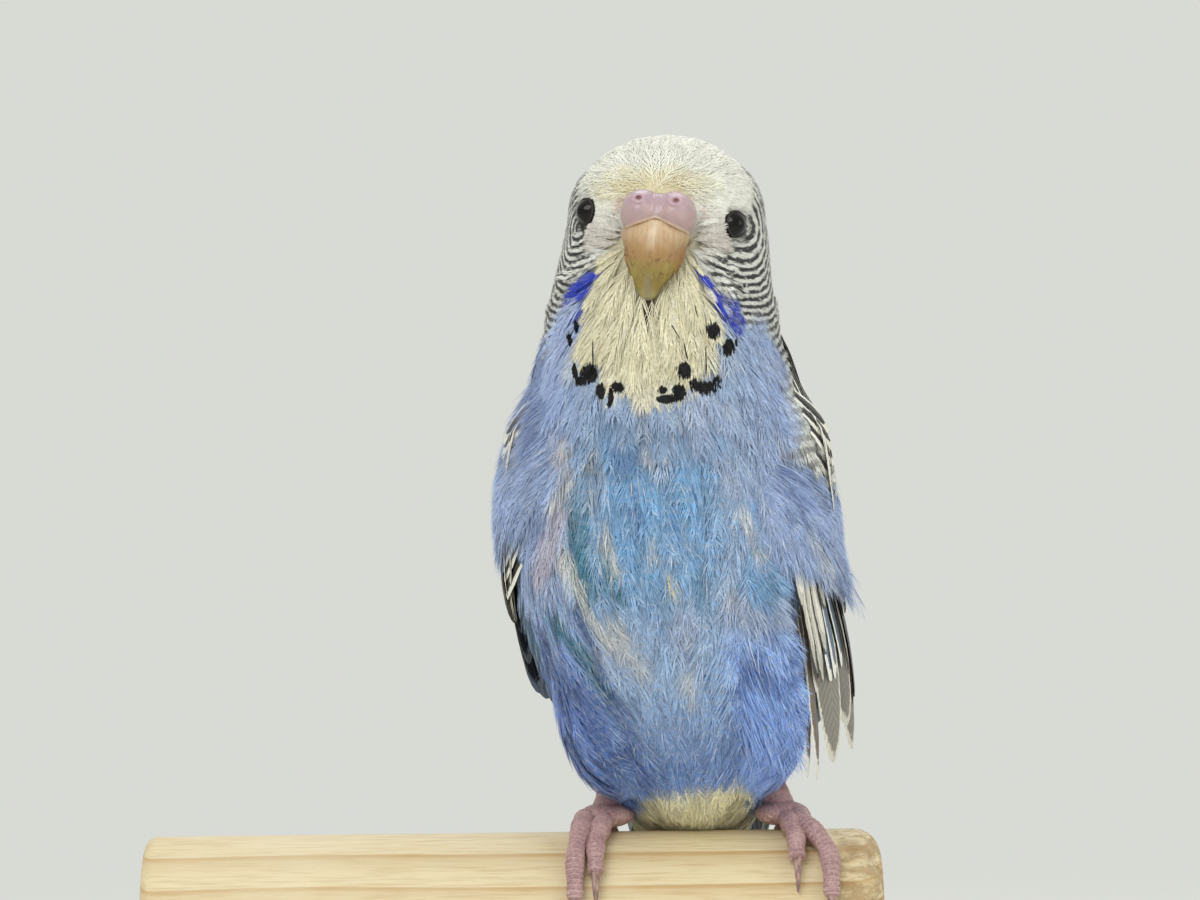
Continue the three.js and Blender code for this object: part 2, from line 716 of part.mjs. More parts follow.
// Two toes reach forward over the perch and two back. Start and end are degrees round the perch from its
// top, forward being positive. The first toe is the short inner hind one, the fourth the outer hind one.
const FEET = [
  {
    side: "right",
    x: -10.2,
    ankleX: -6.4,
    thigh: [-7.6, -4.4, 17],
    toes: [
      { number: 1, root: 1.5, spread: 2.4, reach: -52 },
      { number: 2, root: 1.6, spread: 1.9, reach: 58 },
      { number: 3, root: -1.6, spread: -2, reach: 74 },
      { number: 4, root: -1.5, spread: -2.6, reach: -70 },
    ],
  },
  {
    side: "left",
    x: 19.4,
    ankleX: 13,
    thigh: [12.6, -4.4, 17],
    toes: [
      { number: 1, root: -1.5, spread: -2.4, reach: -52 },
      { number: 2, root: -1.6, spread: -1.9, reach: 50 },
      { number: 3, root: 1.6, spread: 2.3, reach: 74 },
      { number: 4, root: 1.5, spread: 2.6, reach: -70 },
    ],
  },
];

// A point round the perch: angle from its top, forward being positive, at a height over the wood.
function overPerch(x, angle, height) {
  const reach = PERCH.radius + height;
  const [c, s] = [Math.cos(angle * degrees), Math.sin(angle * degrees)];
  return new THREE.Vector3(x, -reach * s, -PERCH.radius + reach * c);
}

function toeStations(foot, toe) {
  const start = 4 * Math.sign(toe.reach);
  const arc = Math.abs(toe.reach - start) * degrees * (PERCH.radius + TOE.radius);
  const scutes = Math.round(arc / TOE.pitch);
  const steps = scutes * 2;
  return Array.from({ length: steps + 1 }, (_, i) => {
    const t = i / steps;
    const knuckle = 0.08 * Math.cos(t * 6 * Math.PI);
    const ridge = i % 2 === 1 ? TOE.scute : 0;
    const radius = mix(TOE.radius, TOE.tip, t) + knuckle;
    const angle = mix(start, toe.reach, t);
    const x = foot.x + mix(toe.root, toe.spread, ease(t, 0, 0.7));
    const point = overPerch(x, angle, GAP + radius + ridge / 2);
    const up = new THREE.Vector3(0, point.y, point.z + PERCH.radius).normalize();
    return { point, radius: radius + ridge / 2, up };
  });
}

// The claw starts inside the toe's tip and arches over the wood.
function clawStations(foot, toe, grow = 0) {
  const steps = 5;
  const x = foot.x + toe.spread;
  const turnPerMm = Math.sign(toe.reach) / (degrees * (PERCH.radius + TOE.tip));
  return Array.from({ length: steps + 1 }, (_, i) => {
    const t = i / steps;
    const ahead = mix(-CLAW.root, CLAW.length, t);
    const radius = mix(CLAW.radius, CLAW.tip, t ** 1.3);
    const arch = CLAW.arch * Math.sin(Math.PI * clamp01(t * 1.05)) + 0.25;
    const point = overPerch(x, toe.reach + ahead * turnPerMm, GAP + radius + arch);
    const up = new THREE.Vector3(0, point.y, point.z + PERCH.radius).normalize();
    return { point, radius: radius + grow, up, flat: 1.2 };
  });
}

// The bare leg with its ring of scutes, and the pad of the foot.
function shankSolid(foot, grow = 0) {
  const bottom = new THREE.Vector3(foot.x, 0.6, FOOT.halfHeight + GAP);
  const top = new THREE.Vector3(foot.ankleX, TARSUS.back, TARSUS.ankle);
  const steps = 6;
  const stations = Array.from({ length: steps + 1 }, (_, i) => {
    const ridge = i % 2 === 1 ? TOE.scute : 0;
    const radius = mix(TARSUS.foot, TARSUS.radius, i / steps) + ridge + grow;
    return { point: bottom.clone().lerp(top, i / steps), radius, up: new THREE.Vector3(0, 1, 0) };
  });
  const sizes = [FOOT.halfWidth, FOOT.halfLength, FOOT.halfHeight];
  const pad = ellipsoid(sizes.map((size) => size + grow), 12);
  return tube(stations, 8).add(solidOf(pad.translate(foot.x, 0.1, FOOT.halfHeight + FOOT.over)));
}

// A round bar along x, rounded over at both ends.
function perchSolid(grow = 0) {
  const half = PERCH.length / 2;
  const steps = 3;
  const end = (size) =>
    Array.from({ length: steps + 1 }, (_, i) => {
      const turn = (i / steps) * 0.5 * Math.PI;
      return [half - size * (1 - Math.cos(turn)), PERCH.radius - size * (1 - Math.sin(turn))];
    });
  const left = end(PERCH.leftRound).map(([x, radius]) => [-x, radius]);
  const right = end(PERCH.rightRound).reverse();
  const profile = [...left, [0, PERCH.radius], ...right];
  const sides = 24;
  return loft(
    profile.map(([x, radius]) =>
      Array.from({ length: sides }, (_, k) => {
        const angle = (2 * Math.PI * k) / sides;
        const reach = radius + grow;
        const z = reach * Math.cos(angle) - PERCH.radius;
        return new THREE.Vector3(x - BIRD_X, reach * Math.sin(angle), z);
      }),
    ),
  );
}

// Bites out of the perch's right end, as a gnawing bill leaves them.
function gnawed(perch) {
  const random = seeded(7);
  const count = 5;
  const bites = Array.from({ length: count }, (_, i) => {
    const angle = ((i + random()) / count) * Math.PI * 1.2 - 0.5;
    const size = mix(1.6, 3.2, random());
    const reach = PERCH.radius + size * 0.35;
    const shape = ellipsoid([size * 1.3, size, size], 7).translate(
      PERCH.length / 2 - BIRD_X - random() * 1.5,
      -reach * Math.sin(angle),
      reach * Math.cos(angle) - PERCH.radius,
    );
    return solidOf(shape);
  });
  return bites.reduce((solid, bite) => solid.subtract(bite), perch);
}

// The stand

// A flat slab with rounded corners and a bevelled upper edge.
function standBase() {
  const [x, y, r] = [BASE.width / 2 - BASE.bevel, BASE.depth / 2 - BASE.bevel, BASE.corner];
  const outline = new THREE.Shape();
  outline.moveTo(-x + r, -y);
  outline.lineTo(x - r, -y);
  outline.absarc(x - r, -y + r, r, -Math.PI / 2, 0);
  outline.absarc(x - r, y - r, r, 0, Math.PI / 2);
  outline.absarc(-x + r, y - r, r, Math.PI / 2, Math.PI);
  outline.absarc(-x + r, -y + r, r, Math.PI, 1.5 * Math.PI);
  const slab = new THREE.ExtrudeGeometry(outline, {
    depth: BASE.height - BASE.bevel,
    bevelThickness: BASE.bevel,
    bevelSize: BASE.bevel,
    bevelSegments: 2,
    curveSegments: 4,
  });
  const floor = new THREE.BoxGeometry(BASE.width * 2, BASE.depth * 2, BASE.height);
  return solidOf(slab).subtract(solidOf(floor.translate(0, 0, -BASE.height / 2)));
}

function standRod(x, perchGap) {
  const bottom = BASE.height + GAP;
  const top = PERCH_TOP - PERCH.radius;
  const rod = new THREE.CylinderGeometry(ROD.radius, ROD.radius, top - bottom, 20);
  rod.rotateX(Math.PI / 2).translate(x, PERCH.y, (top + bottom) / 2);
  return solidOf(rod).subtract(perchGap);
}

// Assembly

const bird = new THREE.Group();
bird.position.set(BIRD_X, PERCH.y, PERCH_TOP);

const skin = bodySolid(GAP);
const body = bodyParts();
const thighRoom = joined(FEET.map((foot) => thighSolid(foot, GAP)));
const rump = joined([body.rump.subtract(thighRoom), ...tailCoverts().map(belowRump)]);
bird.add(
  meshOf("head", headSolid(body.head), MATERIALS.face),
  meshOf("neck", body.neck, MATERIALS.face),
  meshOf("torso", body.torso.subtract(thighRoom), MATERIALS.body),
  meshOf("rump", rump, MATERIALS.body),
);

const face = faceParts(skin);
bird.add(
  meshOf("cere", face.cere, MATERIALS.cere),
  meshOf("bill_upper", face.upper, MATERIALS.bill),
  meshOf("bill_lower", face.lower, MATERIALS.bill),
);
for (const out of [-1, 1]) {
  const eyeball = moved(ellipsoid([EYE.radius, EYE.radius, EYE.radius], 16), eyeFrame(out));
  bird.add(meshOf(out > 0 ? "eye_left" : "eye_right", eyeball, MATERIALS.eye));
}

const wingRoom = joined([skin, tailRoom()]);
for (const [side, wing] of Object.entries(WINGS)) {
  bird.add(meshOf(`wing_${side}`, wingSolid(wing, wingRoom), MATERIALS.flight));
}
bird.add(meshOf("tail", tailSolid(skin), MATERIALS.tail));

for (const foot of FEET) {
  const shank = shankSolid(foot).subtract(thighSolid(foot, GAP)).subtract(skin);
  const sole = shankSolid(foot, GAP);
  bird.add(
    meshOf(`thigh_${foot.side}`, thighSolid(foot), MATERIALS.body),
    meshOf(`shank_${foot.side}`, shank, MATERIALS.foot),
  );
  for (const toe of foot.toes) {
    const claw = tube(clawStations(foot, toe), 6);
    const clawRoom = tube(clawStations(foot, toe, GAP), 6);
    const toeSolid = tube(toeStations(foot, toe), 7).subtract(clawRoom).subtract(sole);
    bird.add(
      meshOf(`toe_${foot.side}_${toe.number}`, toeSolid, MATERIALS.foot),
      meshOf(`claw_${foot.side}_${toe.number}`, claw, MATERIALS.claw),
    );
  }
}
bird.add(meshOf("perch", gnawed(perchSolid()), MATERIALS.wood));

const perchRoom = perchSolid(GAP).translate([BIRD_X, PERCH.y, PERCH_TOP]);
const stand = new THREE.Group();
stand.add(
  meshOf("stand_base", standBase(), MATERIALS.base),
  meshOf("stand_rod_left", standRod(ROD.spread, perchRoom), MATERIALS.rod),
  meshOf("stand_rod_right", standRod(-ROD.spread, perchRoom), MATERIALS.rod),
);

const model = new THREE.Group();
model.add(bird, stand);

export default model;
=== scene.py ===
# %% [markdown]
# A still, life-size budgerigar on a short perch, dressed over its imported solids.
# This first cell loads the solids, which fix every size and place. Sizes below are in
# millimetres from the top of the perch under the bird, with z up, the bird looking along
# -y and its left at +x, because that is how the solids are described.

# %% Load the solids
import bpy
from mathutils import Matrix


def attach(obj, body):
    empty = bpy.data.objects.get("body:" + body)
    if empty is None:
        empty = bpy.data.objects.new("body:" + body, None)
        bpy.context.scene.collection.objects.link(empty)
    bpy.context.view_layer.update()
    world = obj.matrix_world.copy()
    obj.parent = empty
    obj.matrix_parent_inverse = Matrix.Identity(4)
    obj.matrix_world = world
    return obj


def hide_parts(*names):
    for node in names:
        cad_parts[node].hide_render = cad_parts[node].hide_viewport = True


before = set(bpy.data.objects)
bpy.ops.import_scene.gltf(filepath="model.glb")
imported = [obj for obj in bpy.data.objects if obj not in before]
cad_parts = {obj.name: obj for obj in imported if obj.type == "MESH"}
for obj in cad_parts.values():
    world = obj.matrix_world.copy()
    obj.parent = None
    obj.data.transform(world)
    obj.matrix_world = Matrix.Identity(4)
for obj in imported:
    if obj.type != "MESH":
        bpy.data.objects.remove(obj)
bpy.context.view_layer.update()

import math
import bmesh
import bpy
import numpy as np
from mathutils import Matrix, Vector
from mathutils.bvhtree import BVHTree

GAP = 0.3
BASE = {"x": 116.0, "y": 96.0, "z": 9.0, "corner": 7.0, "bevel": 1.2}
TAIL_ROOT, TAIL_ROOT_Y, TAIL_LENGTH, TAIL_LEAN, TAIL_ABOVE_BASE = 4.0, 17.6, 82.0, math.radians(15), 4
PERCH_TOP = BASE["z"] + TAIL_LENGTH * math.cos(TAIL_LEAN) - TAIL_ROOT + TAIL_ABOVE_BASE
BIRD = np.array([21.0, -6.0, PERCH_TOP])
print("solids", len(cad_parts), "perch top at", round(PERCH_TOP, 3), "mm")


# %% [markdown]
# Numbers are shaped by few helpers: a mix of two values, an ease from 0 to 1 between two
# bounds, which gives every soft edge of this bird, and directions of length one.

# %% Small helpers for numbers
def mix(a, b, t):
    return a + (b - a) * t


def ease(value, low, high):
    t = np.clip((np.asarray(value, float) - low) / (high - low), 0, 1)
    return t * t * (3 - 2 * t)


def unit(v):
    return v / np.maximum(np.linalg.norm(v, axis=-1, keepdims=True), 1e-9)


def dot(a, b):
    return (a * b).sum(-1, keepdims=True)


def spun(x, y, degrees):
    turn = np.radians(degrees)
    return x * np.cos(turn) - y * np.sin(turn), x * np.sin(turn) + y * np.cos(turn)


# Linear light from the everyday #rrggbb of a colour.
def tint(code):
    rgb = np.array([int(code[i : i + 2], 16) for i in (1, 3, 5)]) / 255
    return np.where(rgb <= 0.04045, rgb / 12.92, ((rgb + 0.055) / 1.055) ** 2.4)


# %% [markdown]
# The plumage of a bird hides its muscles, so its outline is one smooth form. It could be
# sculpted freely, but then it would drift from the solids. It is worked out here from the
# same rows of half widths, fronts and backs that the solids were lofted from.

# %% The outline of the plumage
# Height, half width, front and back.
OUTLINE = np.array([
    [84, 13.5, -20.1, 7], [80, 14.2, -19.9, 7.4], [76, 15, -20.4, 7.9], [72, 16, -22, 8.4],
    [67, 17, -23.7, 9], [62, 17.9, -24.6, 10], [56, 18.9, -25.2, 11.4], [48, 19.9, -25.6, 13.2],
    [40, 20.2, -25.2, 15], [32, 19.4, -23.6, 17], [24, 17.6, -20.6, 18.9], [17, 15.6, -16.8, 20.4],
    [11, 13.2, -12.4, 21.6], [6, 11, -7.2, 22.5], [3, 9.6, -2.2, 23.1], [0, 8.2, 5, 23.7],
    [-3, 7, 10.6, 24.3], [-6, 6.1, 13.8, 24.8], [-9.5, 5, 16.6, 25.4], [-12, 3.4, 18.8, 25],
])[::-1]
# The dome of the head: where it starts, how high it is, and its middle from back to front.
HEAD_Z, HEAD_RISE, CROWN_Y = 84, 12.2, -7
# The head is shifted, turned and rolled, in mm and degrees, and the legs lean to one side.
HEAD_SHIFT, HEAD_TURN, HEAD_ROLL, LEAN_SHIFT = 0.8, -7, 5.3, 3.7


# A smooth curve through points, without waves between them.
def through(x, y):
    step, slope = np.diff(x), np.diff(y) / np.diff(x)
    before, after = slope[:-1], slope[1:]
    same = before * after > 0
    inner = np.where(same, 2 * before * after / np.where(same, before + after, 1), 0)
    tangent = np.concatenate([slope[:1], inner, slope[-1:]])

    def curve(at):
        i = np.clip(np.searchsorted(x, at) - 1, 0, len(step) - 1)
        t = np.clip((at - x[i]) / step[i], 0, 1)
        return (
            y[i] * (1 + 2 * t) * (1 - t) ** 2 + tangent[i] * step[i] * t * (1 - t) ** 2
            + y[i + 1] * t * t * (3 - 2 * t) + tangent[i + 1] * step[i] * t * t * (t - 1)
        )

    return curve


half_width, front, back = (through(OUTLINE[:, 0], OUTLINE[:, c]) for c in (1, 2, 3))


def mid_x(z):
    return LEAN_SHIFT * (1 - ease(z, 0, 36)) + HEAD_SHIFT * ease(z, 72, HEAD_Z)


def mid_y(z):
    return np.where(z > HEAD_Z, CROWN_Y, (front(z) + back(z)) / 2)


# A point of the outline. Angle 0 is the bird's left, 90 its back and -90 its front.
def body_point(z, angle, grow=0.0):
    z, angle = np.broadcast_arrays(np.asarray(z, float), np.asarray(angle, float))
    level = np.minimum(z, HEAD_Z)
    round_ = np.sqrt(np.clip(1 - np.clip((z - HEAD_Z) / (HEAD_RISE + grow), 0, 1) ** 2, 0, 1))
    c, s = np.cos(np.radians(angle)), np.sin(np.radians(angle))
    square = np.where(s < 0, mix(2.12, 2.35, ease(z, 62, 82)), 2.05)
    across = np.sign(c) * np.abs(c) ** (2 / square)
    along = np.sign(s) * np.abs(s) ** (2 / square)
    middle = (front(level) + back(level)) / 2
    centre = np.where(z > HEAD_Z, mix(CROWN_Y, (front(HEAD_Z) + back(HEAD_Z)) / 2, round_), middle)
    reach = np.where(s < 0, middle - front(level), back(level) - middle)
    x = (half_width(level) + grow) * round_ * across
    y = (reach + grow) * round_**0.9 * along
    x, y = spun(x, y, HEAD_TURN * ease(z, 58, 78))
    return np.stack([mid_x(z) + x, centre + y, z], -1)


print("half width at the breast", round(float(half_width(48.0)), 2), "mm")


# %% [markdown]
# Every piece is made as a mesh whose points are in the frame of the solids, in metres.
# Most round forms here start as Blender's ball of rings, whose rings are then laid along
# the form: the poles close both ends by themselves, and no seam or cap has to be made.

# %% Making a piece
PARTS = bpy.context.scene.collection


def metres(points):
    return (np.asarray(points, float) + BIRD) / 1000


def adopt(name, mesh, nodes, smooth=True):
    piece = bpy.data.objects.new(name, mesh)
    PARTS.objects.link(piece)
    mesh.polygons.foreach_set("use_smooth", [smooth] * len(mesh.polygons))
    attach(piece, "root")
    if nodes:
        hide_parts(*nodes)
    return piece


# A closed form: place(t, angle) lays a ball's rings, t going from 0 to 1 pole to pole.
def ball(place, around, along):
    bm = bmesh.new()
    bmesh.ops.create_uvsphere(bm, u_segments=around, v_segments=along, radius=1)
    unit_ball = np.array([v.co for v in bm.verts])
    t = np.arccos(np.clip(unit_ball[:, 2], -1, 1)) / np.pi
    angle = np.degrees(np.arctan2(unit_ball[:, 1], unit_ball[:, 0]))
    for v, p in zip(bm.verts, metres(place(t, angle))):
        v.co = p
    bmesh.ops.recalc_face_normals(bm, faces=bm.faces)
    return bm


def finished(bm, name):
    mesh = bpy.data.meshes.new(name)
    bm.to_mesh(mesh)
    bm.free()
    return mesh


# Joins several bmeshes into the first.
def gathered(bms):
    for other in bms[1:]:
        loose = finished(other, "loose")
        bms[0].from_mesh(loose)
        bpy.data.meshes.remove(loose)
    return bms[0]


# Presses bmeshes together into one surface, as a voxel remesh does.
def fused_mesh(bms, name, voxel, rounds):
    rough = bpy.data.objects.new("rough", finished(gathered(bms), "rough"))
    PARTS.objects.link(rough)
    fuse = rough.modifiers.new("fuse", "REMESH")
    fuse.mode, fuse.voxel_size = "VOXEL", voxel / 1000
    soft = rough.modifiers.new("soft", "SMOOTH")
    soft.factor, soft.iterations = 0.5, rounds
    mesh = bpy.data.meshes.new_from_object(rough.evaluated_get(bpy.context.evaluated_depsgraph_get()))
    mesh.name = name
    bpy.data.objects.remove(rough)
    return mesh


def points_of(mesh):
    flat = np.empty(len(mesh.vertices) * 3)
    mesh.vertices.foreach_get("co", flat)
    return flat.reshape(-1, 3) * 1000 - BIRD


# %% [markdown]
# Under the feathers lies one skin, so that no seam between the solids shows through the
# coat. The body and both thighs are separate balls here, which are fused into one surface,
# as modelling clay would be pressed together. It lies inside the solids by the depth of the
# coat, which is thin on the face.

# %% The skin
COAT_DEPTH, FACE_DEPTH, CROWN_DEPTH = 1.1, 0.45, 0.95
THIGHS = {"right": (-7.6, -4.4, 17.0, -1), "left": (12.6, -4.4, 17.0, 1)}
THIGH_HALF, THIGH_LEAN, THIGH_SPREAD = (7, 8.4, 12.4), 24, 9
SKIN_VOXEL, SKIN_ROUNDS = 0.8, 6


def skin_place(t, angle):
    top, bottom = HEAD_Z + HEAD_RISE - CROWN_DEPTH, OUTLINE[0, 0] + COAT_DEPTH
    z = mix(top, bottom, (1 - np.cos(np.pi * t)) / 2 * 0.35 + 0.65 * t)
    body = mix(COAT_DEPTH + 0.6, COAT_DEPTH, ease(np.abs(z - 64), 3, 8))
    depth = mix(body, FACE_DEPTH, ease(z, 68, 80))
    return body_point(z, angle, -mix(depth, CROWN_DEPTH, ease(z, 87, 93)))


# A ball of three half sizes, before it is turned and put in place.
def round_form(t, angle, half):
    turn, ring = np.radians(angle), np.sin(np.pi * t)
    return half[0] * ring * np.cos(turn), half[1] * ring * np.sin(turn), half[2] * np.cos(np.pi * t)


def thigh_place(t, angle, x, y, z, side):
    px, py, pz = round_form(t, angle, np.array(THIGH_HALF) - COAT_DEPTH)
    py, pz = spun(py, pz, THIGH_LEAN)
    pz, px = spun(pz, px, THIGH_SPREAD * side)
    return np.stack([px, py, pz], -1) + (x, y, z)


bms = [ball(skin_place, 72, 110)]
bms += [ball(lambda t, a, s=s: thigh_place(t, a, *s), 32, 32) for s in THIGHS.values()]
fleshy = ["head", "neck", "torso", "rump", "thigh_left", "thigh_right"]
skin = adopt("skin", fused_mesh(bms, "skin", SKIN_VOXEL, SKIN_ROUNDS), fleshy)
skin_points = points_of(skin.data)
skin_bm = bmesh.new()
skin_bm.from_mesh(skin.data)
bmesh.ops.triangulate(skin_bm, faces=skin_bm.faces)
skin_tree = BVHTree.FromBMesh(skin_bm)
print("skin", len(skin_points), "points")

# %% [markdown]
# The bare parts of the face stand in one frame on the front of the head, turned and
# rolled as the head is. These two functions go from that frame to the bird's and back.

# %% The frame of the face
FACE_AT = body_point(HEAD_Z, -90) + (0.4, 0, -0.5)


def face_place(p):
    p = np.asarray(p, float)
    x, z = spun(p[..., 0], p[..., 2], -HEAD_ROLL)
    x, y = spun(x, p[..., 1], HEAD_TURN)
    return np.stack([x, y, z], -1) + FACE_AT


def face_frame(p):
    p = np.asarray(p, float) - FACE_AT
    x, y = spun(p[..., 0], p[..., 1], -HEAD_TURN)
    x, z = spun(x, p[..., 2], HEAD_ROLL)
    return np.stack([x, y, z], -1)


# Height and angle of each eye on the outline.
EYES = {"left": (82.75, -43.0), "right": (84.8, -135.0)}
eye_places = {side: body_point(z, a)[None] for side, (z, a) in EYES.items()}
print("face at", FACE_AT.round(2), "eyes at", *(place.round(1) for place in eye_places.values()))

# %% [markdown]
# Feathers have a lie: they point away from the bill over the head, part below it, and then
# run down the body. It could be combed by hand with a brush, but a small function of the
# place gives the same lie on every side and can be corrected with a number.

# %% The lie of the feathers
# Feathers under the eyes point away from the bill, and those of the crown from the brow.
BILL = np.array([-1.1, -21.0, 80.5])
BROW = np.array([-1.1, -19.5, 86.0])


def on_skin(points):
    found = [skin_tree.find_nearest(Vector(p)) for p in metres(points)]
    place = np.array([f[0] for f in found]) * 1000 - BIRD
    return place, np.array([f[1] for f in found])


# How many degrees a point is from the bird's front, and its angle on the outline.
def around(points):
    x, y, z = points.T
    angle = np.degrees(np.arctan2(y - mid_y(z), x - mid_x(z)))
    return np.abs((angle + 90 + 180) % 360 - 180), angle


# Slow random patches, the same in each run, stretched along the lie by the last number.
def patches(points, size, seed, stretch=1.0):
    draw = np.random.default_rng(seed)
    total = np.zeros(len(points))
    for k in range(5):
        way = unit(draw.normal(size=3)) * 2 * np.pi / size * (0.7 + 0.25 * k)
        way[2] /= stretch
        total += np.sin(points @ way + draw.uniform(0, 2 * np.pi))
    return total / 2.2


def lie(points, normals):
    z = points[:, 2]
    source = mix(BILL, BROW, ease(z, 82, 87)[:, None])
    away = points - source
    # Beside and under the bill they hang along it, and over the cere they fan out sideways.
    under = 1 - ease(z, 79, 84)
    away[:, 0] *= mix(1, mix(0.15, 1, ease(np.abs(away[:, 0]), 4, 11)), under)
    fan = ease(z, 84, 87) * (1 - ease(z, 89, 92)) * (1 - ease(np.abs(away[:, 0]), 5, 9))
    away[:, 2] *= mix(1, 0.35, fan)
    away = unit(away)
    side = np.sign(points[:, 0] - mid_x(z))
    behind, _ = around(points)
    flank = ease(behind, 20, 80) * (1 - ease(behind, 110, 150)) * ease(z, 20, 40) * (1 - ease(z, 58, 68))
    # Over the lower breast they run in towards the middle of the belly.
    inward = ease(np.abs(points[:, 0] - mid_x(z) - 1.5), 1, 13) * (1 - ease(z, 30, 44))
    inward = inward * ease(z, 2, 12) * (1 - ease(behind, 70, 90))
    down = np.stack([side * (0.4 * flank - 0.62 * inward), 0.3 * flank + 0 * z, -np.ones_like(z)], -1)
    way = mix(down, away, ease(z, 56, 74)[:, None])
    way = way + 0.1 * patches(points, 9, 12)[:, None] * np.cross(normals, way)
    way = way - dot(way, normals) * normals
    return unit(way)


# %% [markdown]
# The markings are worked out once, for the skin and the coat alike: a white face, a cream
# mask, violet cheeks, fine dark bars round the back of the head and neck, a blue breast
# with paler and deeper streaks, and a cream vent. They could be painted by hand, but each
# is a soft-edged area here, named by its place on the bird, so that both always agree.

# %% Colours and places of the markings
COLOURS = {name: tint(code) for name, code in {
    "face": "#e9e9df", "brow": "#dccf9c", "cheek": "#bcb3ab", "mask": "#dcd6b8", "violet": "#2b40b6",
    "chest": "#9db2d0", "side": "#a4b9e2", "breast": "#7ba8d2", "belly": "#9fbce0", "thigh": "#86acf5",
    "deep": "#39589c", "teal": "#2f748c", "down": "#d3d1c8", "vent": "#ece6bf", "bar": "#131318",
    "white": "#dcddd6", "low": "#5079c4", "throat": "#46301f", "rose": "#c3bccb", "rump": "#6fa3d0",
    "bright": "#98bcff",
}.items()}
# The mask's middle line and half width at heights up the throat.
MASK_Z = [58.5, 61.0, 63.4, 66.4, 70, 76, 81]
MASK_X = [-3.0, -2.9, -2.2, -2.0, -1.9, -2.0, -1.4]
MASK_HALF = [1.0, 5.5, 9.7, 10.6, 9.6, 7.8, 6.4]
# The bars of the head and neck run in arcs round these two places, one under each eye.
BAR_CENTRES = np.array([[-10.7, -14.0, 82.5], [8.5, -14.0, 82.5]])
# How far back the white of the face reaches at each height.
FACE_REAR = ([78, 82, 85, 90, 93, 97], [-17.0, -16.0, -14.2, -11.0, -8.0, -4.0])
# Single streaks of the breast: from and to (across, up), half width, colour and strength.
# Three deep ones low down are painted shade, as marked below.
STREAKS = [
    (10.5, 45.0, 11.5, 36.0, 2.4, "breast", 0.5), (-12.4, 45.5, -10.8, 33.5, 1.8, "teal", 1.0),
    (-8.8, 39.5, -6.2, 32.9, 0.9, "teal", 0.8), (-5.1, 48.4, -3.5, 43.5, 0.5, "deep", 0.7),
    (3.8, 38.2, 4.5, 32.9, 0.6, "teal", 0.6), (12.9, 41.0, 11.8, 34.9, 0.3, "teal", 0.3),
    (0.5, 44.0, 1.6, 39.0, 0.5, "deep", 0.5), (-16.0, 31.3, -8.2, 20.3, 1.3, "teal", 0.75),
    (-12.1, 32.2, -8.8, 22.9, 0.7, "deep", 0.7), (14.1, 29.0, 9.1, 20.5, 0.75, "deep", 0.7),
    # The deep streaks from (-8.2, 20.3) and (10.5, 20.5) are painted shade in the grooves between the belly
    # and the thighs.
    (-8.2, 20.3, -3.4, 8.0, 1.6, "deep", 0.6), (10.5, 20.5, 9.3, 11.4, 0.7, "deep", 0.45),
    (17.0, 32.0, 16.4, 23.0, 0.35, "deep", 0.6), (-8.2, 42.2, -6.8, 36.8, 0.9, "down", 0.8),
    (9.8, 44.6, 12.0, 39.2, 0.9, "down", 0.8), (10.6, 39.5, 12.6, 34.5, 0.9, "breast", 0.8),
    (-1.8, 40.8, -1.8, 38.8, 1.0, "down", 0.7), (-13.8, 45.5, -17.1, 36.2, 1.6, "rose", 0.8),
    (-13.8, 39.5, -8.8, 27.5, 1.1, "down", 0.75), (0.2, 35.6, 0.5, 34.6, 0.6, "brow", 0.7),
    (-7.5, 30.5, -4.2, 23.5, 1.5, "down", 0.6), (3.4, 28.6, 2.8, 18.7, 0.6, "down", 0.6),
    (19.0, 42.0, 21.7, 36.5, 1.0, "down", 0.35), (-10.0, 51.4, -15.0, 45.6, 0.7, "down", 0.8),
    (-9.6, 52.0, -13.6, 47.4, 0.35, "bar", 0.6), (-6.1, 51.5, -5.9, 50.7, 0.08, "brow", 0.9),
    (-5.2, 49.3, -4.8, 47.9, 0.22, "brow", 1.0), (7.0, 52.0, 9.0, 46.5, 1.2, "rose", 0.35),
    # The deep streak from (-14.5, 24.0) is painted shade over the bird's right thigh.
    (-14.5, 24.0, -8.6, 11.0, 1.9, "deep", 0.5), (-20.5, 51.6, -20.0, 50.2, 0.5, "bar", 0.7),
    (-19.2, 51.2, -18.8, 50.2, 0.4, "bar", 0.6), (-17.3, 30.0, -15.6, 20.0, 0.6, "deep", 0.8),
    (17.5, 60.0, 20.5, 52.0, 0.4, "rose", 0.7), (14.5, 56.0, 16.0, 49.0, 0.35, "down", 0.5),
    (21.0, 52.0, 23.0, 45.0, 0.3, "deep", 0.6), (16.5, 50.0, 18.5, 43.0, 0.3, "deep", 0.45),
    (23.5, 50.0, 25.5, 42.0, 0.4, "rose", 0.7), (-17.5, 58.0, -20.0, 50.0, 0.4, "rose", 0.6),
    (-15.0, 60.0, -17.0, 53.0, 0.3, "deep", 0.45),
]
# The violet dabs beside the mask: from and to (across, up) and half width.
VIOLETS = [(-10.3, 76.0, -12.6, 72.8, 1.0), (-11.1, 73.0, -12.0, 69.3, 0.95),
           (5.9, 75.4, 7.2, 72.6, 0.55), (7.4, 73.2, 9.4, 67.8, 0.85), (9.0, 73.2, 10.6, 69.8, 0.4)]
# Painted shade in small gaps at the corners of the bill, where the feathers part.
CORNERS = [(-5.9, 81.9, -5.8, 80.9, 0.3), (3.4, 80.4, 3.6, 79.9, 0.3), (5.1, 80.3, 5.5, 78.9, 0.22)]


# %% Soft-edged areas
def inside(points, x, z, half_x, half_z, soft=0.15):
    away = np.hypot((points[:, 0] - x) / half_x, (points[:, 2] - z) / half_z)
    return 1 - ease(away, 1 - soft, 1 + soft)


def on_mask(points, soft=0.8):
    z = points[:, 2]
    off = np.abs(points[:, 0] - np.interp(z, MASK_Z, MASK_X)) - np.interp(z, MASK_Z, MASK_HALF, 0, 0)
    return (1 - ease(off, -soft, soft)) * ease(z, 55, 58) * (1 - ease(z, 81, 84))


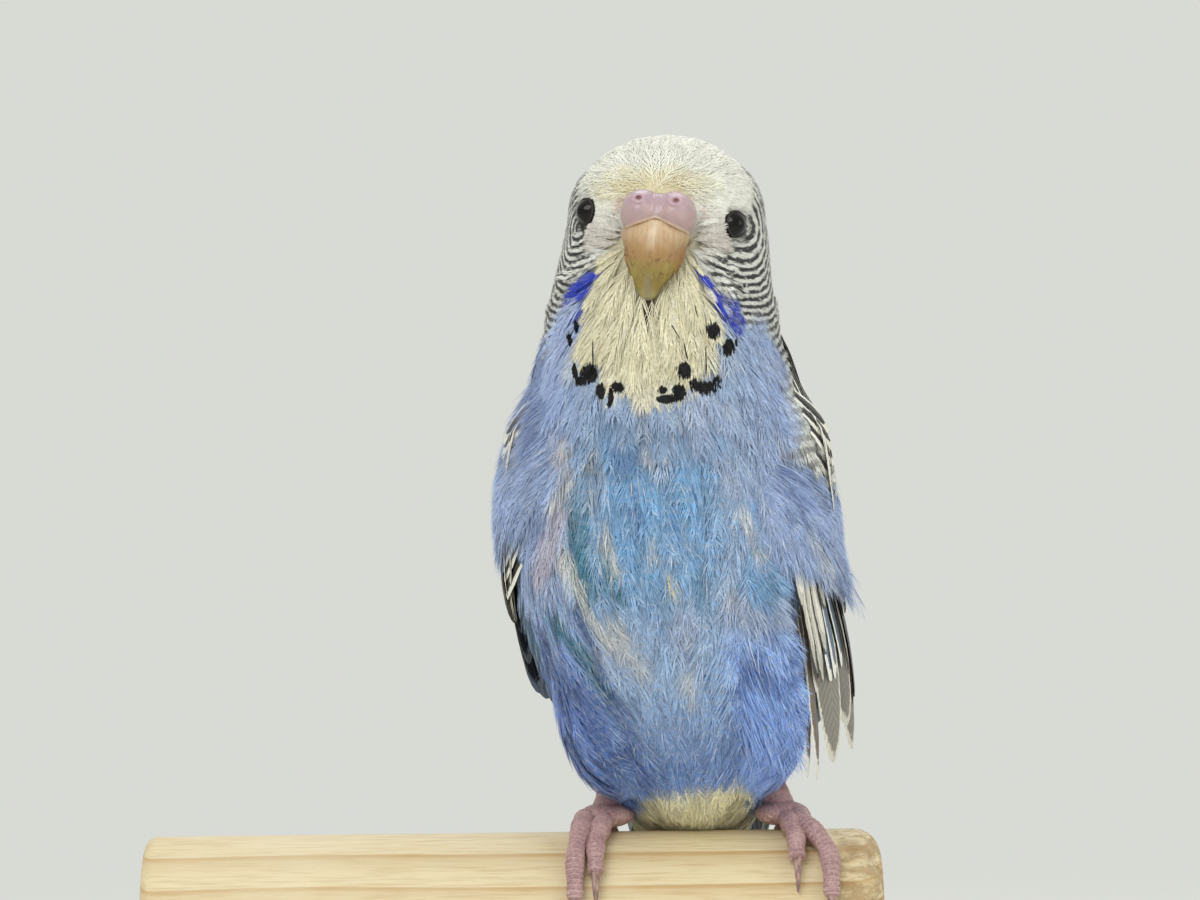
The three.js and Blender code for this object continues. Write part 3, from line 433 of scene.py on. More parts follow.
def from_line(points, a, b):
    t = np.clip(((points - a) @ (b - a)) / ((b - a) @ (b - a)), 0, 1)
    return np.linalg.norm(points - (a + t[:, None] * (b - a)), axis=1)


# Seen from the front, how far points are from a line given by its ends (across, up).
def from_stroke(p, x1, z1, x2, z2):
    return from_line(p * (1, 0, 1), np.array([x1, 0, z1]), np.array([x2, 0, z2]))


# Whether a point is on the front half of the bird.
def on_front(p):
    return 1 - ease(around(p)[0], 84, 100)


def dabs_at(p, dabs):
    amount = np.zeros(len(p))
    for *ends, half in dabs:
        amount = np.maximum(amount, 1 - ease(from_stroke(p, *ends), 0.7 * half, 1.3 * half + 0.1))
    return amount * on_front(p)


def violet_at(p):
    return dabs_at(p, VIOLETS)


# %% Streaks and bars
def streaked(p, colour, draws):
    frontal = on_front(p)
    for *ends, half, name, strength in STREAKS:
        amount = 1 - ease(from_stroke(p, *ends) + 0.3 * draws, 0.3 * half, 1.15 * half)
        colour = mix(colour, COLOURS[name], (strength * frontal * amount)[:, None])
    return colour * (1 + 0.07 * patches(p, 2.2, 15, 7) * ease(patches(p, 9, 16), -0.5, 1))[:, None]


# How many bars lie between a place and the face. They stand a millimetre apart up to here,
# and widen with distance beyond.
EVEN_BARS, WIDENING = 12, 0.05


def bars_passed(p):
    each = np.linalg.norm(p[:, None] - BAR_CENTRES, axis=-1)
    away = -4 * np.log(np.exp(-each / 4).sum(1))
    # Behind, they run level across the nape.
    away = away + 0.35 * np.clip(97 - p[:, 2], 0, 20) * ease(around(p)[0], 90, 135)
    beyond = np.maximum(away - EVEN_BARS, 0)
    return np.minimum(away, EVEN_BARS) + np.log1p(WIDENING * beyond) / WIDENING


# %% [markdown]
# One function lays these areas over each other from the breast up, as washes of paint. It
# could be a stack of masks in the material, but then the roots of the feathers could not
# ask it where the mask ends. Random draws between feathers roughen every border.


# %% The markings
# Returns the colour, the count of dark bars passed from the face, and how dark they are.
def markings(p, draws):
    behind, _ = around(p)
    x, y, z = p.T
    frontal = on_front(p)
    streak = patches(p, 5, 3, 4)
    slow = patches(p, 11, 4, 1.6)
    colour = np.tile(COLOURS["chest"], (len(p), 1))

    def lay(name, amount):
        nonlocal colour
        colour = mix(colour, COLOURS[name], np.clip(amount, 0, 1)[:, None])

    centre = 1 - ease(np.abs(x - mid_x(z) + 2), 5, 13)
    lay("side", ease(behind, 25, 60) * 0.9)
    lay("breast", centre * ease(z, 26, 38) * (1 - ease(z, 50, 58)))
    lay("belly", (1 - ease(z, 24, 36)) * (1 - ease(behind, 50, 90)))
    lay("thigh", (1 - ease(z, 22, 34)) * ease(behind, 25, 50))
    lay("low", (1 - ease(z, 7, 25)) * 0.7)
    lay("deep", (1 - ease(z, 2, 9)) * 0.5)
    # Painted light: the lower left side of the bird, over its thigh, is painted a brighter blue.
    lay("bright", 0.85 * ease(x - mid_x(z), 6, 10) * (1 - ease(z, 24, 34)) * ease(z, 1, 6))
    lay("deep", 0.5 * ease(streak + 0.6 * draws, 0.9, 1.8) * (1 - ease(z, 50, 62)))
    teal = ease(streak + slow + 0.5 * draws - 0.06 * x, 0.9, 2.0)
    lay("teal", centre * ease(z, 26, 34) * (1 - ease(z, 44, 52)) * teal * 0.7)
    down = ease(-streak + 0.5 * slow + 0.6 * draws, 1.0, 2.1)
    lay("down", np.where(x < 2, 0.7, 0.4) * down * ease(z, 18, 30))
    lay("rose", 0.3 * ease(slow - 0.3 * streak, 0.3, 1.4) * ease(z, 14, 24))
    # The chest just below the mask is painted a fifth darker, as the shadow of the mask's fringe.
    colour = streaked(p, colour, draws) * (1 - 0.2 * inside(p, -2.0, 54.5, 9, 3.2, 0.6))[:, None]
    lay("rump", ease(behind, 100, 130) * (1 - ease(z, 28, 40)))
    edge = np.interp(x, [-6, -2.7, 3.3, 10.6, 13], [0.5, 4.4, 5.8, 6.8, 1.0]) + 0.8 * draws
    lay("vent", (1 - ease(z, edge, edge + 2)) * (1 - ease(behind, 95, 125)))
    # The back of the head, the nape and the mantle are white under their bars.
    fore = (1 - ease(behind, 55, 85)) * np.where(x > 0, 7.5, 10)
    ragged = 0.8 * patches(p, 3, 21) + 0.7 * draws
    head = ease(z + ragged, 60 + fore, 65 + fore * 0.8)
    # The bars reach further forward on the shoulders, most of all on the left one.
    further = np.where(x > 0, 40 + 8 * (1 - ease(z, 50, 56)), 14)
    shoulder = ease(z, 45, 49) * (1 - ease(z, 61, 66)) * further
    mantle = ease(behind, 96 - shoulder, 114 - shoulder) * ease(z, 30, 42)
    lay("white", np.maximum(head, mantle))
    bottom = np.interp(np.abs(x + 1.1), [6.5, 9, 12], [77.2, 79.0, 80.4])
    shift = 0.45 * patches(p, 4, 9)
    behind_face = ease(y - np.interp(z, *FACE_REAR) + shift, -0.5, 0.7)
    crown = (1 - behind_face) * ease(z - bottom + shift, -0.5, 0.6)
    mask = on_mask(p) * frontal
    lay("face", crown)
    lay("cheek", crown * (1 - ease(z, 80, 86)) * 0.8)
    lay("brow", inside(p, BROW[0], 87.8, 7.0, 2.8, 0.5) * frontal * 0.75)
    violet = violet_at(p)
    lay("mask", mask)
    lay("down", 0.45 * mask * (1 - ease(z, 59, 64)))
    # Painted shade under the tip of the bill, where the feathers part, and in the gaps at its corners.
    tip = from_line(p, face_place([-0.6, -2.0, -9.0]), face_place([-0.8, -1.0, -13.2]))
    lay("throat", (1 - ease(tip, 0.9, 2.1)) * ease(draws, -0.7, -0.1) * frontal)
    lay("throat", 0.8 * dabs_at(p, CORNERS))
    lay("violet", violet * ease(draws + 0.4 * patches(p, 2, 31), -0.9, -0.4))
    # The bars of the left shoulder are faint.
    barred = np.maximum(head, mantle * np.where((x > 0) & (behind < 110), 0.55, 1))
    dark = barred * (1 - crown) * (1 - mask) * (1 - violet)
    # Black feathers edge the back of each eye.
    for side, place in eye_places.items():
        to_back = (p - place) @ np.array([0.5 if side == "left" else -0.5, 0.8, -0.3])
        near = 1 - ease(np.linalg.norm(p - place, axis=1), 2.4, 3.3)
        lay("bar", near * ease(to_back, 0.2, 1.4) * 0.9)
    return colour, bars_passed(p), dark


# %% Marking the skin
# Gives the points of a mesh a colour or a vector to carry.
def hold(mesh, name, kind, values):
    layer = mesh.attributes.new(name, kind, "POINT")
    if kind == "FLOAT_COLOR":
        values = np.concatenate([values, np.ones((len(values), 1))], 1)
        layer.data.foreach_set("color", values.astype(np.float32).ravel())
    else:
        layer.data.foreach_set("vector", values.astype(np.float32).ravel())


shade, phase, dark = markings(skin_points, np.zeros(len(skin_points)))
# The skin is darker than the coat over it, as the down between feathers is in shade.
in_shade = 0.7 + 0.2 * ease(skin_points[:, 2:], 80, 86)
hold(skin.data, "plume", "FLOAT_COLOR", shade * in_shade)
hold(skin.data, "marks", "FLOAT_VECTOR", np.stack([phase, dark, 0 * dark], 1))
print("marked", len(shade), "points of skin")

# %% [markdown]
# A finish is built from nodes. Two small classes keep that short: a flow is a value on its
# way between nodes, on which plain arithmetic adds the math nodes, and a finish adds the
# nodes and wires them, so that each finish below reads as the few steps that it is.

# %% Arithmetic between nodes
class Flow:
    def __init__(self, finish, socket):
        self.finish, self.socket = finish, socket

    def __add__(self, other):
        return self.finish.math("ADD", self, other)

    def __sub__(self, other):
        return self.finish.math("SUBTRACT", self, other)

    def __rsub__(self, other):
        return self.finish.math("SUBTRACT", other, self)

    def __mul__(self, other):
        return self.finish.math("MULTIPLY", self, other)

    def __pow__(self, other):
        return self.finish.math("POWER", self, other)

    def __abs__(self):
        return self.finish.math("ABSOLUTE", self)

    __radd__, __rmul__ = __add__, __mul__


# %% Building a finish
class Finish:
    def __init__(self, name, **constants):
        self.material = bpy.data.materials.new(name)
        self.material.use_nodes = True
        self.tree = self.material.node_tree
        self.surface = self.tree.nodes["Principled BSDF"]
        self.give(**constants)

    def add(self, kind, options=None, out=0, **wires):
        node = self.tree.nodes.new("ShaderNode" + kind)
        for key, value in (options or {}).items():
            setattr(node, key, value)
        for key, value in wires.items():
            self.wire(node, int(key[1:]) if key[0] == "_" else key.replace("_", " "), value)
        return Flow(self, node.outputs[out])

    def wire(self, node, socket, value):
        target = node.inputs[socket]
        if isinstance(value, Flow):
            self.tree.links.new(value.socket, target)
        elif target.type == "RGBA":
            target.default_value = (*(tint(value) if isinstance(value, str) else value), 1)
        else:
            target.default_value = value

    def give(self, **sockets):
        for key, value in sockets.items():
            self.wire(self.surface, key.replace("_", " "), value)
        return self.material

    def math(self, operation, *values, kind="Math", out=0):
        wires = {f"_{i}": value for i, value in enumerate(values)}
        return self.add(kind, {"operation": operation}, out, **wires)

    def vector(self, operation, *values, out=0):
        return self.math(operation, *values, kind="VectorMath", out=out)

    def split(self, vector):
        node = self.add("SeparateXYZ", None, Vector=vector).socket.node
        return [Flow(self, socket) for socket in node.outputs]

    # A colour or a vector that the points of the mesh carry.
    def carried(self, name, out="Color"):
        return self.add("Attribute", {"attribute_name": name}, out)

    def place(self, scale=(1, 1, 1), turn=(0, 0, 0)):
        where = self.add("TexCoord", out="Object")
        return self.add("Mapping", None, Vector=where, Scale=scale, Rotation=turn)

    def noise(self, where, scale, detail=2.0, roughness=0.5, distortion=0.0):
        return self.add("TexNoise", None, Vector=where, Scale=scale, Detail=detail, Roughness=roughness,
                        Distortion=distortion)

    # Eases a value from one result to another between two bounds.
    def step(self, value, low, high, to_low=0.0, to_high=1.0):
        return self.add("MapRange", {"interpolation_type": "SMOOTHSTEP"}, Value=value, From_Min=low,
                        From_Max=high, To_Min=to_low, To_Max=to_high)

    def blend(self, amount, a, b, how="MIX"):
        return self.add("Mix", {"data_type": "RGBA", "blend_type": how}, 2, _0=amount, _6=a, _7=b)

    def bump(self, height, strength, distance):
        self.give(Normal=self.add("Bump", None, Strength=strength, Distance=distance, Height=height))


# %% [markdown]
# Feathers get their colours from the barbs, so each point carries its own colour and a
# number that counts the dark bars from the face. A wave on that number draws crisp bars
# however coarse the mesh is, and a fine noise keeps the barbs from being all alike.

# %% The spots of the mask
# Place across and up, half width, half height, lean, and whether it is a dark spot (1) or a
# pale bite out of the spots before it (-1).
SPOTS = [
    (-11.7, 69.2, 0.32, 0.95, 8, 1), (-12.6, 67.5, 0.4, 0.95, 10, 1), (-10.0, 62.9, 1.25, 1.35, 0, 1),
    (-11.9, 63.1, 0.4, 1.3, 8, 1), (-11.0, 61.9, 1.0, 0.75, 0, 1), (-8.5, 60.4, 0.62, 1.15, 0, 1),
    (-7.2, 59.7, 0.42, 1.4, -6, 1), (-6.3, 61.0, 0.95, 0.75, -25, 1), (6.5, 68.3, 0.95, 1.2, -8, 1),
    (8.6, 66.1, 0.88, 1.2, -8, 1), (9.6, 66.8, 0.25, 0.55, 0, 1), (2.6, 63.1, 1.05, 1.2, 10, 1),
    (5.4, 61.3, 2.1, 1.5, 0, 1), (5.3, 62.5, 1.3, 1.05, 0, -1), (-0.3, 60.5, 0.6, 0.55, 0, 1),
    (1.8, 60.1, 1.0, 1.15, -10, 1), (0.3, 59.3, 1.5, 0.6, 0, 1), (-9.5, 65.6, 0.1, 1.7, 0, 1),
    (5.5, 64.2, 0.1, 1.9, 0, 1), (2.8, 65.7, 0.1, 1.4, 12, 1), (1.5, 68.3, 0.09, 1.1, 30, 1),
    (4.3, 71.0, 0.09, 0.8, 12, 1),
]


def spots_on(f, where, ragged):
    across, _, up = f.split(where)
    total = 0.0
    for x, z, half_x, half_z, lean, kind in SPOTS:
        c, s = math.cos(math.radians(lean)), math.sin(math.radians(lean))
        dx, dz = across - (BIRD[0] + x) / 1000, up - (BIRD[2] + z) / 1000
        u, v = (dx * c + dz * s) * (1000 / half_x), (dz * c + dx * -s) * (1000 / half_z)
        spot = f.step(f.math("SQRT", u * u + v * v) + ragged, 0.9, 1.06, 1.0, 0.0)
        total = f.math("MAXIMUM", total, spot) if kind > 0 else total * (1.0 - spot)
    return total


# %% The finish of the plumage
def plumage(name, sheen, ripple=0.0, spots=False, even=False):
    f = Finish(name, Sheen_Weight=sheen, Specular_IOR_Level=0.25)
    passed, darkness, along = f.split(f.carried("marks", "Vector"))
    where = f.place()
    wobble = f.noise(where, 480)
    wave = f.math("SINE", (passed + wobble * 0.9) * (2 * math.pi))
    broken = f.step(f.noise(where, 800, 1), 0.32, 0.42, 0.25, 0.95)
    colour = f.blend(f.step(wave, -0.3, 0.25) * darkness * broken, f.carried("plume"), COLOURS["bar"])
    if ripple:
        pale = f.math("SINE", along * 4.4 + wobble * 5.0)
        colour = f.blend(f.step(pale, 0.1, 0.8, 0.0, ripple), colour, "#c3c9cf")
    if spots:
        ragged = f.noise(f.place((1, 1, 0.12)), 3600, 1) * 1.3 - 0.65
        colour = f.blend(spots_on(f, where, ragged), colour, "#08080a")
    fleck = f.step(f.noise(where, 2600, 1), 0.25, 0.75, *((0.96, 1.04) if even else (0.88, 1.1)))
    colour = f.blend(1.0, colour, fleck, "MULTIPLY")
    return f.give(Base_Color=colour, Roughness=f.step(f.noise(where, 500), 0.3, 0.7, 0.52, 0.7))


skin.data.materials.append(plumage("skin_finish", 0.1))
print("skin finished, mask spots", len(SPOTS))

# %% [markdown]
# A contour feather is a shaft with barbs that leave it on both sides and sweep towards its
# tip. Hair strands would be thrown away on export, so each barb is a real blade of three
# triangles, and the last blade of each feather is its shaft. All barbs of a coat are worked
# out together as arrays, which is quick for hundreds of thousands of them.

# %% Barbs along many feathers at once
# Where a barb bends, as a share of its reach, and how wide the shaft is, in mm.
BEND, SHAFT = 0.62, 0.18


# Points on paths at t, from root (0) to tip (1).
def along_path(paths, t):
    last = paths.shape[1] - 1
    at = np.clip(t, 0, 1) * last
    i = np.minimum(at.astype(int), last - 1)
    rows = np.arange(len(paths))[:, None]
    return mix(paths[rows, i], paths[rows, i + 1], (np.clip(t, 0, 1.12) * last - i)[..., None])


def vane_outline(t):
    return np.sqrt(np.clip(1 - ((t - 0.5) / 0.56) ** 2, 0, 1))


# paths: points from root to tip. out: the way off the body there. Returns the corners of
# the blades, how far along the feather each corner is, and how far to its side.
def barbs(paths, out, width, count, blade, sweep, fray, calm, draw):
    n = len(paths)
    side = np.tile(np.repeat([-1.0, 1.0], count), (n, 1))
    order = np.tile(np.tile(np.arange(count), 2), (n, 1))
    t0 = (order + draw.uniform(0.1, 0.9, (n, 2 * count))) / count * 0.86 + 0.03
    t2 = t0 + np.minimum(sweep, (1.06 - t0) * 0.86) * draw.uniform(0.75, 1.15, (n, 2 * count))
    clump = np.repeat(draw.normal(0, 1, (n, (2 * count + 2) // 3)), 3, axis=1)[:, : 2 * count]
    reach = side * width[:, None] / 2 * np.maximum(vane_outline(t2), 0.12)
    reach = reach * (1 + fray * clump) + fray * 0.3 * width[:, None] * draw.normal(0, 1, reach.shape)
    t0 = np.concatenate([t0, np.full((n, 1), 0.02)], 1)
    t2 = np.concatenate([t2, np.full((n, 1), 0.96)], 1)
    reach = np.concatenate([reach, np.zeros((n, 1))], 1)
    behind, ahead = (along_path(paths, np.clip(t0 + by, 0, 1)) for by in (-0.1, 0.15))
    lengthwise = unit(ahead - behind)
    normal = unit(along_path(out, t0))
    across = unit(np.cross(lengthwise, normal))
    rise = draw.normal(0, 0.06 * calm, reach.shape)
    t1 = mix(t0, t2, 0.5)
    bends = [
        along_path(paths, t0),
        along_path(paths, t1) + across * (reach * BEND)[..., None] + normal * (0.05 + rise)[..., None],
        along_path(paths, t2) + across * reach[..., None] + normal * (rise - 0.02 * np.abs(reach))[..., None],
    ]
    tilt = draw.normal(0, 0.35 * calm, reach.shape)[..., None]
    way = unit(bends[2] - bends[0])
    face = unit(normal + tilt * across)
    flat = unit(np.cross(way, face))
    half = np.broadcast_to(blade[:, None] / 2, reach.shape).copy()
    half[:, -1] = SHAFT / 2
    half = half[..., None]
    corners = np.stack([
        bends[0] - flat * half * 0.7, bends[0] + flat * half * 0.7,
        bends[1] - flat * half, bends[1] + flat * half, bends[2],
    ], 2)
    spots = np.stack([t0, t0, t1, t1, t2], 2)
    lateral = np.stack([0 * reach, 0 * reach, reach * BEND, reach * BEND, reach], 2)
    return corners, spots, lateral


# %% [markdown]
# Blender makes a mesh of arrays when its points, loops and faces are filled in bulk. A blade
# is a quad and a triangle on five points. Its map OFBake puts it on the place of its root.

# %% Blades as a mesh
BLADE_LOOPS = np.array([0, 1, 3, 2, 2, 3, 4])


def blades_mesh(name, corners, colours, marks, patch):
    flat = corners.reshape(-1, 3)
    blades = len(flat) // 5
    mesh = bpy.data.meshes.new(name)
    mesh.vertices.add(len(flat))
    mesh.vertices.foreach_set("co", metres(flat).astype(np.float32).ravel())
    loops = (np.arange(blades)[:, None] * 5 + BLADE_LOOPS).ravel()
    mesh.loops.add(len(loops))
    mesh.loops.foreach_set("vertex_index", loops.astype(np.int32))
    starts = (np.arange(blades)[:, None] * 7 + [0, 4]).ravel()
    mesh.polygons.add(len(starts))
    mesh.polygons.foreach_set("loop_start", starts.astype(np.int32))
    hold(mesh, "plume", "FLOAT_COLOR", colours.reshape(-1, 3))
    hold(mesh, "marks", "FLOAT_VECTOR", marks.reshape(-1, 3))
    uv = mesh.uv_layers.new(name="OFBake")
    uv.data.foreach_set("uv", patch.reshape(-1, 2)[loops].astype(np.float32).ravel())
    mesh.update()
    mesh.validate()
    return mesh


# The place on an unwrap of the skin: round the body, and down its length.
def unwrap(points):
    _, angle = around(points)
    high = HEAD_Z + 2
    above = np.hypot(points[:, 0] - mid_x(points[:, 2]), points[:, 1] - CROWN_Y)
    length = np.where(points[:, 2] > high, high + (16 - above) * 0.9, points[:, 2])
    return np.stack([(angle + 180) / 360, (length + 14) / 116], 1)


# %% [markdown]
# Roots are scattered over the skin and thinned until none are too close, which gives the
# even but unruled spacing of real follicles. Short feathers stand closer than long ones.

# %% Rooting the coat
ROOT_TRIES, ROOT_SEED = 140000, 5


def scatter(bm, tries, seed):
    draw = np.random.default_rng(seed)
    corners = np.array([[v.co for v in f.verts] for f in bm.faces]) * 1000 - BIRD
    edges = corners[:, 1:] - corners[:, :1]
    area = np.linalg.norm(np.cross(edges[:, 0], edges[:, 1]), axis=1)
    pick = draw.choice(len(corners), tries, p=area / area.sum())
    a, b = np.sqrt(draw.uniform(size=(tries, 1))), draw.uniform(size=(tries, 1))
    c = corners[pick]
    return c[:, 0] * (1 - a) + c[:, 1] * a * (1 - b) + c[:, 2] * a * b


# Keeps a point only where none that was kept before stands too close to it.
def thinned(points, spacing):
    cells, kept = {}, []
    size = float(spacing.max())
    keys = np.floor(points / size).astype(int)
    near = [(i, j, k) for i in (-1, 0, 1) for j in (-1, 0, 1) for k in (-1, 0, 1)]
    for n, (p, s, key) in enumerate(zip(points.tolist(), spacing.tolist(), keys.tolist())):
        clear = True
        for i, j, k in near:
            for q, r in cells.get((key[0] + i, key[1] + j, key[2] + k), ()):
                d = min(s, r)
                if (p[0] - q[0]) ** 2 + (p[1] - q[1]) ** 2 + (p[2] - q[2]) ** 2 < d * d:
                    clear = False
                    break
            if not clear:
                break
        if clear:
            cells.setdefault(tuple(key), []).append((p, s))
            kept.append(n)
    return np.array(kept)


# The length of a feather by its place on the body.
def lengths(p):
    behind, _ = around(p)
    x, y, z = p.T
    side = ease(behind, 45, 70) * (1 - ease(behind, 95, 120))
    size = mix(12, 8, ease(z, 54, 66))
    size = mix(size, 13.5, side * ease(z, 14, 26) * (1 - ease(z, 46, 58)))
    size = mix(size, 8.5, 1 - ease(z, 8, 20))
    size = mix(size, 6.5, ease(behind, 95, 115))
    size = mix(size, 3.2, ease(z, 64, 76))
    size = mix(size, 10.5, on_mask(p, 1.5) * (behind < 90) * (1 - ease(z, 74, 82)))
    size = mix(size, 3.8, violet_at(p))
    size = mix(size, 4.6, ease(z, 85.5, 87.5) * (behind < 80))
    return mix(size, 3.0, ease(z, 90, 93))


# Half widths of the bare cere and bill at heights in the frame of the face, and the bare
# round of each eye.
BARE_Z = [-10.6, -9.6, -8.0, -6, -3, 0.5, 2.5, 3.6, 4.0]
BARE_HALF = [0, 0.9, 2.2, 3.1, 4.4, 5.0, 4.6, 2.8, 0]
BARE_EYE = 1.9


# Roots keep clear of the eyes, the cere and the bill.
def bare(p):
    x, y, z = face_frame(p).T
    found = (np.abs(x - 0.05 * z) < np.interp(z, BARE_Z, BARE_HALF)) & (y < 6)
    for place in eye_places.values():
        found |= np.linalg.norm(p - place, axis=1) < BARE_EYE
    return found


candidates = scatter(skin_bm, ROOT_TRIES, ROOT_SEED)
candidates = candidates[~bare(candidates)]
spacing = 0.075 * lengths(candidates) + 0.3
roots, root_out = on_skin(candidates[thinned(candidates, spacing)])
print("roots", len(roots))

# %% [markdown]
# Each feather is walked over the skin in short steps along the lie, so that it hugs the
# form, and it lifts slowly towards its tip, so that it lies over the roots of the next
# ones like a roof tile.

# %% Growing the coat
WALK_STEPS, ROOT_LIFT = 4, 0.12


def grown(roots, out, length, depth, draw):
    points, outs = [roots], [out]
    where, normal = roots, out
    bend = draw.normal(0, 0.08, (len(roots), 1))
    for _ in range(WALK_STEPS):
        way = lie(where, normal)
        way = unit(way + bend * np.cross(normal, way))
        where, normal = on_skin(where + way * (length / WALK_STEPS)[:, None])
        points.append(where)
        outs.append(normal)
    paths = np.stack(points, 1)
    outs = np.stack(outs, 1)
    lift = np.linspace(0, 1, WALK_STEPS + 1)[None, :] ** 0.8 * depth[:, None] + ROOT_LIFT
    return paths + outs * lift[..., None], outs


# %% [markdown]
# A coat piece is a few hundred feathers of one kind. Each barb takes a colour from the
# markings, a little chance of its own, and painted shade towards its root, where the next
# feathers lie over it, so that its tip is paler, and the piece gets one finish.

# %% Making one piece of the coat
# The upper rim of the cere, where the skin shows pink through the roots of the feathers.
across = np.linspace(-1, 1, 21)
CERE_RIM = face_place(np.stack([5.0 * across, 0 * across - 1.5 + 2.2 * across**2, 3.9 - 2.6 * across**2], 1))
PATCH = 0.003


# Lays barbs along the paths of feathers and gives them their colours.
def coat_piece(name, p, paths, outs, length, look, draw, colour_at=None):
    n = len(p)
    width = length * look["wide"] * draw.uniform(0.85, 1.15, n)
    blade = np.full(n, look["blade"]) * (0.6 + length / 16)
    barb = [look[key] for key in ("sweep", "fray", "calm")]
    corners, spots, lateral = barbs(paths, outs, width, look["count"], blade, *barb, draw)
    shape = corners.shape[:3]
    draws = draw.normal(0, 0.6, n)
    blades = corners.mean(2)
    tip = along_path(paths, np.full((n, 1), 0.75))
    # Each barb takes part of its colour from its own place and the rest from the tip.
    where = mix(tip, blades, look["local"]).reshape(-1, 3)
    each_draw = np.repeat(draws, shape[1])
    if colour_at is None:
        colour = markings(where, each_draw)[0]
    else:
        colour = streaked(where, np.repeat(markings(colour_at, draws)[0], shape[1], axis=0), each_draw)
    colour = colour.reshape(n, shape[1], 1, 3)
    phase, dark = np.zeros(shape), np.zeros(shape)
    if look["barred"]:
        _, phase, dark = markings(corners.reshape(-1, 3), np.zeros(corners[..., 0].size))
        phase, dark = phase.reshape(shape), dark.reshape(shape)
    each = np.where(draw.uniform(size=(n, 1, 1, 1)) < look.get("dusky", 0), 0.72, 1)
    each = each * draw.normal(1, 0.06, (n, 1, 1, 1)) * draw.normal(1, look["vary"], (*shape[:2], 1, 1))
    # Painted shade: each barb darkens towards the root of its feather, where the feathers over it lie.
    painted_root_shade = (look["root"] + (1.05 - look["root"]) * np.clip(spots, 0, 1))[..., None]
    shades = colour * each * painted_root_shade
    # Some barbs are bleached and the shaft is darker, which makes the fine streaks of a coat.
    bleach = (draw.uniform(size=shape[:2]) < look["bleach"])[..., None, None]
    shades = np.where(bleach, mix(shades, 0.75, 0.45), shades)
    shades[:, -1] *= look["shaft"]
    if look["face"]:
        gap = np.linalg.norm(corners[..., None, :] - CERE_RIM, axis=-1).min(-1)[..., None]
        shades = mix(shades, tint("#d99a92"), 0.55 * (1 - ease(gap, 0.5, 1.7)))
    phase = phase + 0.06 * draw.normal(0, 1, shape[:2])[..., None]
    mark = np.stack([phase, dark, spots * length[:, None, None]], -1)
    home = unwrap(p)
    low, high = home.min(0), home.max(0)
    home = 0.01 + 0.98 * (home - low) / (high - low)
    within = np.stack([lateral / width[:, None, None] * PATCH, (spots - 0.5) * PATCH], -1)
    patch = home[:, None, None, :] + within
    mesh = blades_mesh(name, corners, np.clip(shades, 0, 1), mark, patch)
    piece = adopt(name, mesh, [])
    finish = plumage(name + "_finish", look["sheen"], look["ripple"], look["spots"], look["face"])
    piece.data.materials.append(finish)
    print(name, n, "feathers", len(mesh.polygons) // 2 * 3, "triangles")
    return piece


# %% [markdown]
# Each part of the bird has its own kind of feather. A look says how many barbs a feather
# has, how wide they are (blade), how ragged (fray) and tidy (calm) they lie, how far they
# sweep, how high the tip stands (depth), how much the colour varies, how dark the painted
# shade at the root is, and how dark the shaft is. Every look starts from the plain one and
# changes a few values.

# %% Kinds of feathers
LOOK = {"count": 14, "blade": 0.13, "fray": 0.14, "depth": 1.5, "sweep": 0.42, "wide": 0.46, "vary": 0.12,
        "root": 0.78, "calm": 0.5, "local": 0.0, "barred": True, "bleach": 0.06, "shaft": 0.7, "sheen": 0.2,
        "ripple": 0.0, "spots": False, "face": False}
FACE = {**LOOK, "count": 9, "blade": 0.11, "fray": 0.1, "depth": 0.7, "wide": 0.5, "vary": 0.025, "root": 0.98,
        "calm": 0.08, "bleach": 0, "shaft": 1.0, "face": True}
MASK_LOOK = {**LOOK, "count": 22, "blade": 0.095, "fray": 0.1, "depth": 1.7, "sweep": 0.7, "wide": 0.42,
             "vary": 0.04, "root": 0.9, "calm": 0.2, "bleach": 0.03, "shaft": 1.0, "spots": True}
CHEST = {**LOOK, "count": 24, "blade": 0.1, "fray": 0.12, "sweep": 0.6, "depth": 1.7, "vary": 0.13,
         "calm": 0.35, "ripple": 0.16, "local": 0.7, "barred": False}
BELLY = {**CHEST, "vary": 0.07, "root": 0.88, "calm": 0.3, "ripple": 0.26, "shaft": 0.85}
NECK = {**CHEST, "count": 16, "depth": 1.3, "spots": True, "local": 0.3, "barred": True}
# Locks are few long narrow feathers whose barbs run together to one point.
LOCK = {"wide": 0.13, "sweep": 0.95, "depth": 2.0}
MASK_LOCKS = {**MASK_LOOK, **LOCK, "count": 5, "blade": 0.075, "vary": 0.05, "long": 1.1}
LOCKS = {**CHEST, **LOCK, "count": 6, "wide": 0.12, "fray": 0.2, "blade": 0.09, "vary": 0.14, "local": 0.5,
         "long": 1.25, "dusky": 0.35}
# The shoulder is pale under small broken bars.
SHOULDER = {**LOOK, "bleach": 0, "long": 0.5, "wide": 0.5, "root": 0.9}
print("barbs on each side of a breast feather", CHEST["count"])


# %% Dressing the skin
# Grows a coat piece from the chosen roots.
def dress(name, chosen, look, seed):
    draw = np.random.default_rng(seed)
    p, out = roots[chosen], root_out[chosen]
    n = len(p)
    length = lengths(p) * draw.uniform(0.85, 1.15, n) * look.get("long", 1)
    for place in eye_places.values():
        to_eye = place - p
        gap = np.linalg.norm(to_eye, axis=1)
        facing = (unit(to_eye) * lie(p, out)).sum(1)
        # A feather that points at an eye ends before it.
        short = (facing > 0.5) & (gap < length + 3)
        length = np.where(short, np.clip(gap - BARE_EYE, 0.6, length), length)
    lift = look["depth"] * np.clip(length / 8, 0.3, 1.1) * draw.uniform(0.8, 1.15, n)
    paths, outs = grown(p, out, length, lift, draw)
    # Feathers of the mask that would hang over the violet dabs stay short.
    hides = (violet_at(paths[:, -1]) + violet_at(paths[:, 2]) > 0.3) & name.startswith("coat_mask")
    short = along_path(paths, np.tile(np.linspace(0, 0.4, paths.shape[1]), (n, 1)))
    paths = np.where(hides[:, None, None], short, paths)
    return coat_piece(name, p, paths, outs, np.where(hides, 0.4, 1) * length, look, draw)


